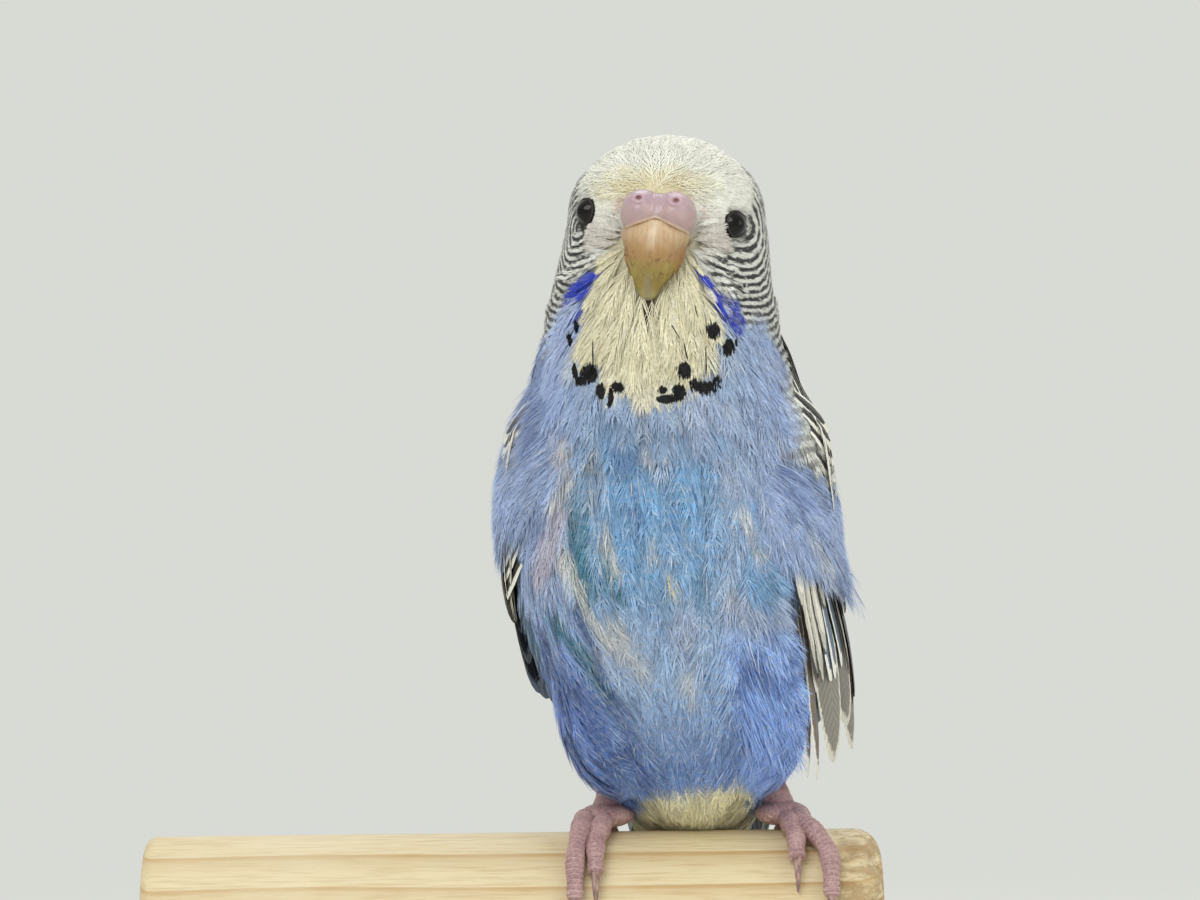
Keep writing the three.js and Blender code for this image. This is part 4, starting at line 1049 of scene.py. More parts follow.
# %% The coat, part by part
behind, _ = around(roots)
height = roots[:, 2]
right = roots[:, 0] < mid_x(height)
is_front = behind < 75
is_mask = (on_mask(roots + (0, 0, -4.0), 0.5) + on_mask(roots, 0.5) > 0.5) & (behind < 80)
is_mask &= (height > 58) & (height < 83) & (violet_at(roots) < 0.4)
is_head = (height > 74) & ~is_mask
is_neck = (height > 56) & ~is_head & ~is_mask
is_chest = (height <= 56) & (height > 34) & is_front & ~is_mask
is_belly = (height <= 34) & (height > 16) & is_front
is_back = (height <= 56) & ~is_front
picked = np.random.default_rng(41).uniform(size=len(roots))
for name, chosen, look, seed in (
    ("mask_locks", is_mask & (picked < 0.1), MASK_LOCKS, 42),
    ("locks", is_front & (height > 8) & (height < 58) & ~is_mask & (picked < 0.14), LOCKS, 43),
    ("head_front", is_head & (behind < 80), FACE, 31),
    ("head_back", is_head & (behind >= 80), {**FACE, "depth": 1.0}, 32),
    ("mask", is_mask, MASK_LOOK, 30),
    ("neck_front", is_neck & is_front, NECK, 33),
    ("neck_back", is_neck & ~is_front, {**LOOK, "bleach": 0}, 34),
    ("chest_right", is_chest & right, CHEST, 35),
    ("chest_left", is_chest & ~right, CHEST, 36),
    ("belly_right", is_belly & right, BELLY, 37),
    ("belly_left", is_belly & ~right, BELLY, 38),
    ("legs", (height <= 16) & is_front, {**BELLY, "count": 18}, 39),
    ("back_right", is_back & right, LOOK, 40),
    ("back_left", is_back & ~right, LOOK, 44),
):
    dress("coat_" + name, chosen, look, seed)

# %% [markdown]
# The quills of wing and tail are stiff sheets with a shaft, so each one is a small curved
# grid. The wings follow the same surface and the same rows as the solids, with more
# feathers in each row. Each vane also carries its own flat map, across and along, because
# the pale rims, the bars and the fine lines of its barbs follow the feather.
# A group is a row of like vanes: their paths, the ways off the body, widths and colours.

# %% Vanes in tiers
ACROSS = np.linspace(-1, 1, 7)
NARROWEST, SHAFT_HEIGHT, CAMBER = 0.05, 0.09, 0.35


# The corners of the vanes of a group: how they narrow to root and tip, and how they bulge.
def vane_corners(g, seed):
    paths, outs, width, t = g["paths"], g["outs"], g["width"], g["rows"]
    side = unit(np.cross(unit(np.gradient(paths, axis=1)), outs))
    grow = mix(0.6, 1, ease(t, 0, 0.4))
    tip = np.sqrt(np.clip(1 - np.clip((t - g["blunt"]) / (1.0 - g["blunt"]), 0, 1) ** 2, 0, 1))
    shape = np.maximum(grow * tip, NARROWEST)
    half = (width[:, None] / 2 * shape[None, :])[..., None]
    lateral = ACROSS[None, None, :] * half + g.get("aside", 0.0) * half * (1 - ACROSS**2)
    ragged = np.random.default_rng(seed).normal(0, 1, (*paths.shape[:2], len(ACROSS)))
    lateral = lateral * (1 + 0.04 * ragged * (np.abs(ACROSS) == 1))
    bulge = g["rise"] * ACROSS + g.get("camber", CAMBER) * (1 - ACROSS**2)
    lift = (shape[:, None] * bulge + SHAFT_HEIGHT * (np.abs(ACROSS) < 0.01))[None, :, :, None]
    return paths[:, :, None] + side[:, :, None] * lateral[..., None] + outs[:, :, None] * lift


def vanes_mesh(name, groups):
    kept = {key: [] for key in ("corners", "vane", "OFBake", "plume", "rim", "marks", "faces")}
    total = sum(len(g["paths"]) for g in groups)
    cells = math.ceil(math.sqrt(total))
    start, made = 0, 0
    for g in groups:
        n, rows = g["paths"].shape[:2]
        shape = (n, rows, len(ACROSS))
        kept["corners"].append(vane_corners(g, n + start).reshape(-1, 3))
        flat = (ACROSS / 2 + 0.5)[None, None, :], g["rows"][None, :, None]
        flat = np.stack(np.broadcast_arrays(*flat), -1)
        flat = np.broadcast_to(flat, (*shape, 2))
        kept["vane"].append(flat.reshape(-1, 2))
        # Each vane has a square cell of its own in the map OFBake.
        cell = made + np.arange(n)
        corner = np.stack([cell % cells, cell // cells], 1)[:, None, None, :]
        kept["OFBake"].append(((corner + 0.06 + 0.88 * flat) / cells).reshape(-1, 2))
        for key in ("plume", "rim", "marks"):
            kept[key].append(np.broadcast_to(g[key][:, None, None, :], (*shape, 3)).reshape(-1, 3))
        index = start + np.arange(math.prod(shape)).reshape(shape)
        low, high = index[:, :-1], index[:, 1:]
        quads = np.stack([low[..., :-1], low[..., 1:], high[..., 1:], high[..., :-1]], -1)
        kept["faces"].append(quads.reshape(-1, 4)[:, :: g["out"]])
        start += math.prod(shape)
        made += n
    kept = {key: np.concatenate(value) for key, value in kept.items()}
    mesh = bpy.data.meshes.new(name)
    mesh.from_pydata(metres(kept["corners"]).tolist(), [], kept["faces"].tolist())
    for layer in ("OFBake", "vane"):
        uv = mesh.uv_layers.new(name=layer)
        uv.data.foreach_set("uv", kept[layer][kept["faces"].ravel()].astype(np.float32).ravel())
    hold(mesh, "plume", "FLOAT_COLOR", kept["plume"])
    hold(mesh, "rim", "FLOAT_COLOR", kept["rim"])
    hold(mesh, "marks", "FLOAT_VECTOR", kept["marks"])
    print(name, total, "vanes", len(kept["faces"]) * 2, "triangles")
    return mesh


# %% [markdown]
# The finish of a vane reads that flat map: how far a point is from the border gives the
# pale rim and the bars, and slanted lines on both sides of the shaft give the barbs.

# %% The finish of the vanes
# What the attribute "marks" holds here: where the rim starts, how close the bars stand, and
# how dark they are.
def quill_finish(name):
    f = Finish(name, Sheen_Weight=0.1)
    across, along, _ = f.split(f.add("UVMap", {"uv_map": "vane"}))
    rim_from, bars_close, bars_dark = f.split(f.carried("marks", "Vector"))
    where = f.place()
    blur = f.noise(where, 1500, 2) * 0.24 - 0.12
    lateral = abs(across * 2.0 - 1.0)
    tipward = f.math("MAXIMUM", along * 2.2 - 1.2, 0.0)
    border = (lateral**3.0 + tipward**3.0) ** (1 / 3) + blur
    colour = f.blend(f.step(border - rim_from, -0.04, 0.06), f.carried("plume"), f.carried("rim"))
    bars = f.step(f.math("SINE", border * bars_close), 0.1, 0.5) * bars_dark
    colour = f.blend(bars, colour, COLOURS["bar"])
    lines = f.math("SINE", lateral * -18.0 + along * 120.0 + f.noise(where, 900) * 4.0)
    colour = f.blend(1.0, colour, f.step(lines, -1, 1, 0.84, 1.08), "MULTIPLY")
    colour = f.blend(f.step(lateral, 0.02, 0.07, 1.0, 0.0) * 0.5, colour, "#8d8a80")
    f.bump(lines, 0.25, 0.0001)
    return f.give(Base_Color=colour, Roughness=f.step(f.noise(where, 400), 0.3, 0.7, 0.42, 0.6))


vane_finish = quill_finish("vane_finish")
print("vane finish made")

# %% [markdown]
# A folded wing is a second shell round the body, closed behind over the back. Its points
# are named by height and angle as the body's are, and by how far off the shell they lie.

# %% The surface of a folded wing
WING_HEIGHTS = np.array([70, 62, 54, 44, 34, 26, 14, 0, -30.0])[::-1]
WING_WIDTHS = {
    "left": np.array([16.2, 17.7, 21.3, 22.0, 22.8, 23.6, 23.0, 21, 15])[::-1],
    "right": np.array([16.3, 17.1, 20.4, 21.2, 20.5, 19.5, 18.0, 16.6, 12])[::-1],
}
wing_width = {side: through(WING_HEIGHTS, w) for side, w in WING_WIDTHS.items()}


def wing_point(side, z, angle, off):
    out = 1 if side == "left" else -1
    level = np.maximum(z, TAIL_ROOT)
    trail = (level - z) * math.tan(TAIL_LEAN) * 0.5
    middle = mid_y(level) + 1.5
    c, s = np.cos(np.radians(angle)), np.sin(np.radians(angle))
    reach = np.where(s < 0, middle - front(level) - 1, back(level) - middle + 2.4)
    x, y = mid_x(z) + out * (wing_width[side](z) + off) * c, middle + trail + (reach + off) * s
    return np.stack(np.broadcast_arrays(x, y, z), -1)


print("half width of the left wing at 34 mm", float(wing_width["left"](34)))

# %% [markdown]
# Feathers of one kind stand in a tier, whose roots and tips each follow a line of heights
# and angles. The tiers of a wing overlap from the long flight feathers inwards, so that the
# small ones of the shoulder come last and lie on top.

# %% Laying a tier
VANE_ROWS = np.array([0, 0.12, 0.25, 0.4, 0.55, 0.68, 0.78, 0.86, 0.92, 0.965, 0.99, 1.0])


def line_at(line, u):
    line = np.array(line, float)
    at = np.clip(u, 0, 1) * (len(line) - 1)
    return np.stack([np.interp(at, np.arange(len(line)), line[:, k]) for k in (0, 1)], -1)


# lift: how far roots and tips are off the shell. rise: how far one edge lies over the next.
def tier(side, count, width, lift, rise, roots, tips, bend, blunt, seed, colours, **more):
    draw = np.random.default_rng(seed + (50 if side == "left" else 0))
    out = 1 if side == "left" else -1
    u = (np.arange(count) + draw.uniform(-0.12, 0.12, count)) / max(count - 1, 1)
    root, tip = line_at(roots, u), line_at(tips, u)
    tip[:, 0] += draw.normal(0, 0.5, count)
    z = mix(root[:, :1], tip[:, :1], VANE_ROWS)
    angle = mix(root[:, 1:], tip[:, 1:], VANE_ROWS**bend)
    off = mix(lift[0], lift[1], VANE_ROWS)
    paths = wing_point(side, z, angle, off)
    outs = unit(wing_point(side, z, angle, off + 1) - paths)
    plume, rim, marks = colours(count, draw)
    width = width * draw.uniform(0.93, 1.07, count)
    return dict(paths=paths, outs=outs, width=width, rows=VANE_ROWS, blunt=blunt, rise=out * rise, out=out,
                plume=plume, rim=rim, marks=marks, **more)


# Colours for the vanes of a group: centre, edge, where the rim starts, and the bars.
def paint(centre, edge, rim, bars=0.0, strength=0.0):
    def colours(count, draw):
        plume = np.clip(tint(centre) * draw.normal(1, 0.1, (count, 1)), 0, 1)
        marks = np.tile([rim, bars, strength], (count, 1))
        marks[:, 0] += draw.normal(0, 0.03, count)
        return plume, np.tile(tint(edge), (count, 1)) * draw.normal(1, 0.04, (count, 1)), marks

    return colours


# %% [markdown]
# The wing of a young bird is dark, and every feather has a pale rim, so the folded wing
# looks scaled. The tiers below name the feathers as on a real wing, from the long
# primaries to the lesser coverts at the shoulder.

# %% The feathers of both wings
# Painted light: the flight feathers, and the inner feathers of the left wing, are painted much lighter than
# the same inner feathers of the right wing, because the folded wings lie in their own shade.
FLIGHT = paint("#8a867d", "#d8d6c9", 0.88)
INNER = {"left": paint("#827f78", "#e4e2d4", 0.84), "right": paint("#1c1c1f", "#d6d3c4", 0.88)}
GREATER = paint("#34363d", "#efede1", 0.6)
MEDIAN = paint("#24262b", "#efede1", 0.56)
MARGIN = paint("#1b1c20", "#f0eee2", 0.5)
SLATE = paint("#5c6f86", "#f4f3ec", 0.78)
BLACK = paint("#17171a", "#4a4844", 0.9)
TIPS = paint("#77685a", "#e9e7df", 0.8)
CREAM = paint("#f2efe0", "#3a3a3c", 0.93, 10.0, 0.35)
LESSER = paint("#eceadf", "#f0eee4", 0.9, 11.0, 0.95)
PRIMARY_ROOT = {"left": -10, "right": 8}
PRIMARY_TIPS = [[-15, 74], [-21, 77], [-24, 79], [-22, 81], [-16, 84], [-4, 86]]
SECONDARY_TIPS = {
    "left": [[20, -5], [16, 5], [14.5, 18], [14, 36], [15, 52], [17, 68], [20, 80]],
    "right": [[28, -6], [20.3, 3], [17, 24], [14, 44], [12, 60], [14, 73], [18, 82]],
}
SECONDARY_BLUNT = {"left": 0.62, "right": 0.78}


# Count, width, lift, rise, roots, tips (height, angle), bend, blunt, seed, colours.
def covering(side):
    inner = INNER[side]
    return [
        (4, 4.6, (0.3, 1.0), 0.5, [[52, -18], [50, -8]], [[34, -14], [29, -8]], 1, 0.75, 3, inner),
        (12, 5.6, (0.4, 1.3), 0.6, [[54, -14], [56, 60]],
         [[32, -8], [29, 12], [28, 36], [31, 60], [36, 78]], 1, 0.7, 4, GREATER),
        (12, 5.2, (0.5, 1.4), 0.6, [[59, -14], [61, 58]],
         [[41, -10], [38, 12], [38, 36], [43, 66]], 1, 0.65, 5, MEDIAN),
        (12, 4.6, (0.3, 1.3), 0.5, [[62, -12], [64, 58]],
         [[46, -12], [44, 12], [44, 36], [49, 66]], 1, 0.6, 6, MEDIAN),
        (11, 4.0, (0.1, 1.1), 0.5, [[64, -8], [67, 56]],
         [[51, -10], [50, 12], [49, 36], [54, 62]], 1, 0.55, 7, LESSER),
        (9, 3.6, (-0.2, 0.9), 0.5, [[66, -4], [70, 52]],
         [[56, -8], [55, 14], [54, 36], [59, 58]], 1, 0.5, 8, LESSER),
        (7, 3.4, (-0.6, 0.7), 0.5, [[68, 4], [72, 48]],
         [[61, -2], [60, 20], [60, 36], [64, 54]], 1, 0.5, 9, LESSER),
        # Small feathers along the leading edge of the wing.
        (10, 3.2, (0.4, 1.5), 0.3, [[60, -22], [38, -24]],
         [[54.5, -6], [32.5, -8]], 1, 0.5, 10, MARGIN),
    ]


# On the left the folded edge is turned to the front: narrow brown tips lowest, then flight
# feathers painted pale as light, slate feathers with white edges, a black one, and cream
# coverts.
LEFT_EDGE = [
    (4, 3.0, (-1.4, -1.0), 0.4, [[34, -40], [34, -30]],
     [[6.8, -41], [7.0, -35], [13, -37], [19, -33]], 1, 0.6, 11, TIPS),
    (3, 3.6, (-1.0, 0.3), -1.0, [[36, -26], [36, -8]],
     [[9.4, -30], [15, -16], [10.8, -1]], 1, 0.5, 12, FLIGHT),
    (5, 3.8, (-0.6, 0.2), 0.5, [[42, -34], [42, -10]],
     [[22, -33], [20, -28], [21, -23], [22, -16], [19, -6]], 1, 0.8, 13, SLATE),
    (1, 4.4, (0.2, 0.9), 0.4, [[42, -8], [42, -8]], [[18, -3], [18, -3]], 1, 0.75, 15, BLACK),
    (5, 3.4, (0.0, 0.7), 0.5, [[46, -40], [44, -27]],
     [[31, -40], [19, -37], [23, -33], [31, -27]], 1, 0.7, 14, CREAM),
]
for side in ("right", "left"):
    primary_roots = [[46, PRIMARY_ROOT[side]], [44, 20]]
    groups = [
        tier(side, 8, 5.6, (-1.2, 0.7), 0.5, primary_roots, PRIMARY_TIPS, 0.36, 0.82, 1, FLIGHT, aside=0.3),
        tier(side, 11, 6.4, (-0.3, 0.5), 0.6, [[46, -12], [48, 64]], SECONDARY_TIPS[side], 0.9,
             SECONDARY_BLUNT[side], 2, INNER[side], aside=0.2),
    ]
    groups += [tier(side, *row) for row in covering(side) + (LEFT_EDGE if side == "left" else [])]
    name = f"wing_{side}_vanes"
    wing = adopt(name, vanes_mesh(name, groups), [f"wing_{side}"])
    wing.data.materials.append(vane_finish)

# %% [markdown]
# The tail has twelve feathers in six pairs. The long middle pair is dark blue, and the
# shorter outer ones are a paler blue. Coverts close the root above and below.

# %% The tail
# Length, width, fan in degrees, place aside at the root, and how far the vane stays wide.
TAIL_PAIRS = [(82, 7.6, -0.7, 1.6, 0.93), (63, 6.9, 3.2, 2.6, 0.9), (56, 6.7, 5.4, 3.5, 0.9),
              (49, 6.5, 7.6, 4.3, 0.88), (43, 6.2, 9.6, 5.0, 0.88), (37, 5.8, 11.6, 5.6, 0.86)]


def tail_point(down, aside, depth):
    c, s = math.cos(TAIL_LEAN), math.sin(TAIL_LEAN)
    y, z = TAIL_ROOT_Y + down * s + depth * c, TAIL_ROOT - down * c + depth * s
    return np.stack(np.broadcast_arrays(LEAN_SHIFT + aside, y, z), -1)


TAIL_ROWS = np.array([0, 0.15, 0.3, 0.45, 0.6, 0.7, 0.8, 0.87, 0.92, 0.96, 0.985, 1.0])


def tail_vane(length, width, fan, aside, depths, blunt, colours, seed, start=0.0, rise=0.0, side=1):
    along = (length - start) * TAIL_ROWS[None, :]
    depth = mix(depths[0], depths[1], TAIL_ROWS[None, :])
    paths = tail_point(start + along, side * (aside + along * math.sin(math.radians(fan))), depth)
    outs = np.broadcast_to(tail_point(0, 0, 1) - tail_point(0, 0, 0), paths.shape)
    plume, rim, marks = colours(1, np.random.default_rng(seed))
    return dict(paths=paths, outs=outs, width=np.array([width]), rows=TAIL_ROWS, blunt=blunt,
                rise=side * rise, camber=0.15, out=1, plume=plume, rim=rim, marks=marks)


NAVY = paint("#27406f", "#2d3a55", 0.85)
OUTER = paint("#3d6a9e", "#33465f", 0.9)
OVER = paint("#7fa8cf", "#9fbdd6", 0.8)
UNDER = paint("#d9d3aa", "#e4dfc2", 0.8)
# Length, width, fan, place aside, and depth at root and tip: four rows over the root and
# four under it.
TAIL_COVERTS = [
    (26, 5.6, 0, 0, (4, 1.35)), (24, 5.6, 3, 1.8, (3.7, 1.3)), (21, 5.2, 5, 3.6, (3.3, 1.3)),
    (17, 5, 8, 5, (3, 1.25)), (30, 6, 0, 0, (-4.2, -3.6)), (27, 5.6, 3, 2, (-4, -3.5)),
    (24, 5.4, 5, 3.8, (-3.6, -3.4)), (20, 5, 8, 5.2, (-3, -3.4)),
]
groups = []
for i, (length, width, fan, aside, blunt) in enumerate(TAIL_PAIRS):
    colours, rise = (OUTER, 0.2) if i else (NAVY, 0)
    for s in (-1, 1):
        depth = -i * 0.45 + s * 0.1
        groups.append(tail_vane(length, width, fan, aside, (depth, depth), blunt, colours, 60 + i * 2 + s,
                                rise=rise, side=s))
for i, (length, width, fan, aside, depths) in enumerate(TAIL_COVERTS):
    for s in ((1,) if aside == 0 else (-1, 1)):
        groups.append(tail_vane(length, width, fan, aside, depths, 0.7, OVER if i < 4 else UNDER,
                                80 + i * 2 + s, start=5, side=s))
tail = adopt("tail_vanes", vanes_mesh("tail_vanes", groups), ["tail"])
tail.data.materials.append(vane_finish)

# %% [markdown]
# Long loose feathers of the sides hang over the front edges of both wings. They could grow
# from the body, but would then pass under the wing, so they are laid over the surface of
# the folded wing itself. Their colours are those of the breast or side beside them.

# %% The side feathers over the wings
SIDES = {**CHEST, "count": 16, "fray": 0.2, "wide": 0.4, "vary": 0.11, "root": 0.84, "dusky": 0.1}
FLANK_LENGTHS = (7.5, 15.5)


# As wing_point, but on the body itself.
def beside_body(side, z, angle, off):
    return body_point(z, angle if side == "left" else -180 - angle, off - 0.4)


# span: angles of the inner and outer roots. heights: the lowest root at the outer side, the
# highest one, and the lowest at the inner side. rises: how far the tips stand off.
# shown_at: degrees from the front at which the body is asked for the colour, if it is.
def flank(name, side, count, span, heights, turns, rises, seed, over=wing_point, shown_at=30.0, look=SIDES):
    draw = np.random.default_rng(seed)
    a0 = mix(span[0], span[1], draw.uniform(size=count))
    outer = ease(a0, span[0] + 5, span[1] - 10)
    z0 = mix(mix(heights[2], heights[0], outer), heights[1], draw.uniform(size=count))
    length = draw.uniform(*FLANK_LENGTHS, count) * look.get("long", 1)
    t = np.linspace(0, 1, 6)[None, :]
    turn = draw.uniform(*turns, count)[:, None] * mix(0.6, 1.15, outer)[:, None]
    z = z0[:, None] - length[:, None] * 0.88 * t
    angle = a0[:, None] + turn * t**0.9
    rise = mix(*rises, outer)[:, None] * mix(1, 0.2, ease(z, 47, 58))
    off = mix(-0.3, rise, t) + (draw.uniform(-0.2, 0.6, count) * (z0 < 56))[:, None]
    paths = over(side, z, angle, off)
    outs = unit(over(side, z, angle, off + 1) - paths)
    shown = None
    if shown_at:
        out = 1 if side == "left" else -1
        shown = body_point(np.clip(z[:, 3], 9, 54), -90.0 + out * (90 - shown_at))
    coat_piece(name, paths[:, 0], paths, outs, length, look, draw, colour_at=shown)


flank("coat_flank_right", "right", 700, (-80, -20), (48, 70, 57), (20, 36), (0.9, 2.1), 51)
flank("coat_flank_left", "left", 560, (-80, -20), (44.5, 52, 49), (20, 36), (0.9, 1.9), 52)
flank("coat_tuft_left", "left", 14, (-34, -26), (43.0, 44.0, 43.0), (28, 38), (2.4, 3.6), 53)
flank("coat_shoulder_left", "left", 190, (-46, -8), (50, 67, 56), (6, 12), (0.8, 1.5), 56,
      shown_at=None, look=SHOULDER)
flank("coat_side_left", "left", 300, (-88, -64), (20, 43, 22), (12, 18), (0.5, 1.2), 54, shown_at=55.0)
flank("coat_side_right", "right", 260, (-50, -8), (24, 38, 22), (4, 10), (0.5, 1.5), 55, beside_body,
      shown_at=40.0)

# %% [markdown]
# The cere is two waxy lobes grown together over the bill, so it is fused from three balls.
# Its nostrils are pressed in afterwards by moving points inwards round two places.

# %% The cere
def move_points(mesh, points):
    mesh.vertices.foreach_set("co", metres(points).ravel())
    mesh.update()


CERE = {"half": (2.8, 3.95, 3.15), "aside": 2.3, "back": -0.95, "up": 0.6, "lean": 12}
NOSTRIL_X, NOSTRIL_Z = 2.5, 2.35
BRIDGE_HALF, BRIDGE_UP = (1.9, 3.75, 2.7), 0.7


# The lower edge runs down to both sides from a point over the ridge of the bill.
def above_edge(x, y, z):
    return face_place(np.stack([x, y, np.maximum(z, -0.15 - 0.4 * np.abs(x))], -1))


def lobe_place(t, angle, out):
    x, y, z = round_form(t, angle, CERE["half"])
    x, z = spun(x, z, CERE["lean"] * out)
    return above_edge(x + out * CERE["aside"], y + CERE["back"], z + CERE["up"])


def bridge_place(t, angle):
    x, y, z = round_form(t, angle, BRIDGE_HALF)
    return above_edge(x, y + CERE["back"], z + BRIDGE_UP)


lobes = [ball(lambda t, a, out=out: lobe_place(t, a, out), 40, 30) for out in (-1, 1)]
lobes.append(ball(bridge_place, 32, 24))
cere_mesh = fused_mesh(lobes, "cere", 0.16, 3)
local = face_frame(points_of(cere_mesh))
# A shallow groove parts the lobes, and each nostril is a pit inside a low ring.
groove = 0.45 * np.exp(-((local[:, 0] / 0.55) ** 2))
local[:, 1] += groove * (local[:, 1] < 0) * ease(local[:, 2], -0.8, 1.6)
for out in (-1, 1):
    gap = np.hypot((local[:, 0] - out * NOSTRIL_X) * 0.8, (local[:, 2] - NOSTRIL_Z) * 1.2)
    pit, ring = 0.6 * np.exp(-((gap / 0.33) ** 4)), 0.28 * np.exp(-(((gap - 0.68) / 0.26) ** 2))
    local[:, 1] += (pit - ring) * (local[:, 1] < -1)
move_points(cere_mesh, face_place(local))
cere = adopt("cere_lobes", cere_mesh, ["cere"])
hold(cere_mesh, "on_face", "FLOAT_VECTOR", local)
print("cere", len(cere_mesh.vertices), "points")

# %% [markdown]
# Wax-like skin lets light in a little way, and its colour is mixed from lilac and pink
# with fine mottling. A thin clear coat gives the broad soft glint on each lobe.

# %% The finish of the cere
f = Finish("cere_finish", Subsurface_Weight=0.25, Subsurface_Radius=(0.0012, 0.0006, 0.0006),
           Coat_Weight=0.35, Coat_Roughness=0.25)
x, _, z = f.split(f.carried("on_face", "Vector"))
where, aside = f.place(), abs(x)
mottle = f.step(f.noise(where, 900, 4, 0.6), 0.35, 0.7)
colour = f.blend(mottle, "#ad949b", "#bb9f9d")
colour = f.blend(f.step(z, -1.8, 2.0, 0.6, 0.0), colour, "#aa8d82")
colour = f.blend(f.step(z, 1.0, 3.4, 0.0, 0.4), colour, "#bb9cb4")
colour = f.blend(f.step(f.noise(where, 2600, 2), 0.55, 0.75, 0.0, 0.3), colour, "#a1808c")
hole_x, hole_z = (aside - NOSTRIL_X) * 0.8, (z - NOSTRIL_Z) * 1.2
gap = f.math("SQRT", hole_x * hole_x + hole_z * hole_z)
colour = f.blend(f.step(gap, 0.45, 0.9, 0.28, 0.0), colour, "#d9b6c6")
# The pit of each nostril is painted dark reddish brown as the shade inside the opening.
colour = f.blend(f.step(gap, 0.2, 0.4, 0.7, 0.0), colour, "#93625c")
lip = z + (aside * 0.4 + 0.15)
colour = f.blend(f.step(lip, 0.15, 0.5, 0.75, 0.0), colour, "#dcc3ae")
f.bump(f.noise(where, 1800, 3), 0.12, 0.0002)
cere.data.materials.append(f.give(Base_Color=colour, Roughness=f.step(mottle, 0, 1, 0.34, 0.48)))
print("cere finished")

# %% [markdown]
# The bill is horn over bone: a hooked upper half that closes over a short lower half. Each
# half is a ball of rings laid along its level slices, with a soft ridge down its middle.

# %% The bill
# Height, half width, front and back.
UPPER_BILL = np.array([
    [2.4, 2.4, -1.4, 3], [1.2, 3.7, -2.6, 3], [-0.6, 4.4, -4.0, 3], [-2.6, 4.5, -4.9, 3],
    [-4.4, 3.85, -4.95, 1.2], [-6, 3.15, -4.45, -0.8], [-7.6, 2.5, -3.7, -1.2], [-9.2, 1.75, -2.7, -0.9],
    [-10.4, 1.1, -1.9, -0.7], [-11.2, 0.5, -1.3, -0.5],
])[::-1]
LOWER_BILL = np.array([
    [-3.4, 4.2, -2.4, 3], [-5.4, 4.0, -2.4, 3], [-7.2, 3.2, -2.2, 3], [-8.8, 2.2, -1.9, 3],
    [-9.8, 0.9, -1.4, 3],
])[::-1]


# Draws a form in to a round end over the first and the last share of its length.
def rounded_ends(t, first, last):
    start, end = np.clip(1 - t / first, 0, 1), np.clip((t - 1 + last) / last, 0, 1)
    return np.sqrt(np.clip(1 - start**2, 0, 1)) * np.sqrt(np.clip(1 - end**2, 0, 1))


def bill_place(t, angle, rows, ridge):
    width, fore, aft = (through(rows[:, 0], rows[:, c]) for c in (1, 2, 3))
    z = mix(rows[-1, 0], rows[0, 0], t)
    close = rounded_ends(t, 0.05, 0.04)
    c, s = np.cos(np.radians(angle)), np.sin(np.radians(angle))
    middle = mix(fore(z), aft(z), 0.45)
    reach = np.where(s < 0, middle - fore(z), aft(z) - middle)
    keel = np.where(s < 0, 1 - 0.12 * np.abs(c), 1)
    y = middle + reach * s * close - ridge * np.exp(-((c / 0.14) ** 2)) * (s < 0) * np.sin(np.pi * t)
    return np.stack([width(z) * c * keel * close + 0.05 * z, y, z], -1)


bill = {}
for half, rows, ridge in (("upper", UPPER_BILL, 0.14), ("lower", LOWER_BILL, 0.0)):
    form = ball(lambda t, a: face_place(bill_place(t, a, rows, ridge)), 64, 60)
    mesh = finished(form, f"bill_{half}_horn")
    bill[half] = adopt(mesh.name, mesh, [f"bill_{half}"])
    hold(mesh, "on_face", "FLOAT_VECTOR", face_frame(points_of(mesh)))
    print("bill", half, len(mesh.vertices), "points")

# %% [markdown]
# Horn grows down from the cere in thin layers that flake where they are oldest, so the
# colour changes down the bill. A pale line, which is a painted highlight, follows the ridge,
# and flakes show below it.

# %% The finish of the bill
f = Finish("horn_finish", Subsurface_Weight=0.15, Subsurface_Radius=(0.001, 0.0006, 0.0004))
x, _, z = f.split(f.carried("on_face", "Vector"))
aside = abs(x - z * 0.05)
streaks = f.noise(f.place((1, 1, 0.22)), 2200, 3)
flow = f.noise(f.place(), 420, 3, 0.6)
down = z + (flow * 2.4 - 1.2)
colour = f.blend(f.step(down, -4.8, -1.6), "#a78254", "#c6ab89")
colour = f.blend(f.step(down, -7.4, -5.0), "#92803f", colour)
colour = f.blend(f.step(down, -11.0, -8.8), "#b5a66e", colour)
colour = f.blend(f.step(aside, 1.3, 2.6) * f.step(z, -6.6, -5.0, 0.75, 0.0), colour, "#a8954f")
colour = f.blend(f.step(aside, 2.2, 4.4) * f.step(z, -5.4, -3.0, 1.0, 0.0), colour, "#ad835a")
colour = f.blend(f.step(aside, 0.2, 0.8, 0.65, 0.0) * f.step(z, -8.8, -7.0, 1.0, 0.0), colour, "#8b856c")
flake = f.step(f.noise(f.place((1, 1, 0.6)), 1300, 4, 0.7, 0.6), 0.5, 0.66)
middle = f.step(z, -5.2, -4.0, 1.0, 0.0) * f.step(z, -9.5, -7.6)
colour = f.blend(flake * middle * 0.9, colour, "#6a4f27")
# A painted highlight: a pale line down the ridge of the upper bill.
colour = f.blend(f.step(aside, 0.0, 1.1, 0.75, 0.0) * f.step(z, -5.6, -2.6), colour, "#dac7ad")
colour = f.blend(f.step(streaks, 0.4, 0.7, 0.0, 0.25), colour, "#8d6a3f")
f.bump(streaks + flake * 0.5, 0.2, 0.0002)
horn = f.give(Base_Color=colour, Roughness=f.step(flow, 0.3, 0.7, 0.36, 0.55))
for half in bill.values():
    half.data.materials.append(horn)
print("bill finished")

# %% [markdown]
# A budgerigar's eye is a glossy bead in a soft ring of lid. A young bird's iris is nearly
# as dark as its pupil. The bead sits as deep as the real one, so only its front shows.

# %% The eyes
EYE = {"radius": 2.0, "sink": 1.12, "bulge": 0.22, "lid": 1.62, "thick": 0.17, "lid_sink": 0.12}


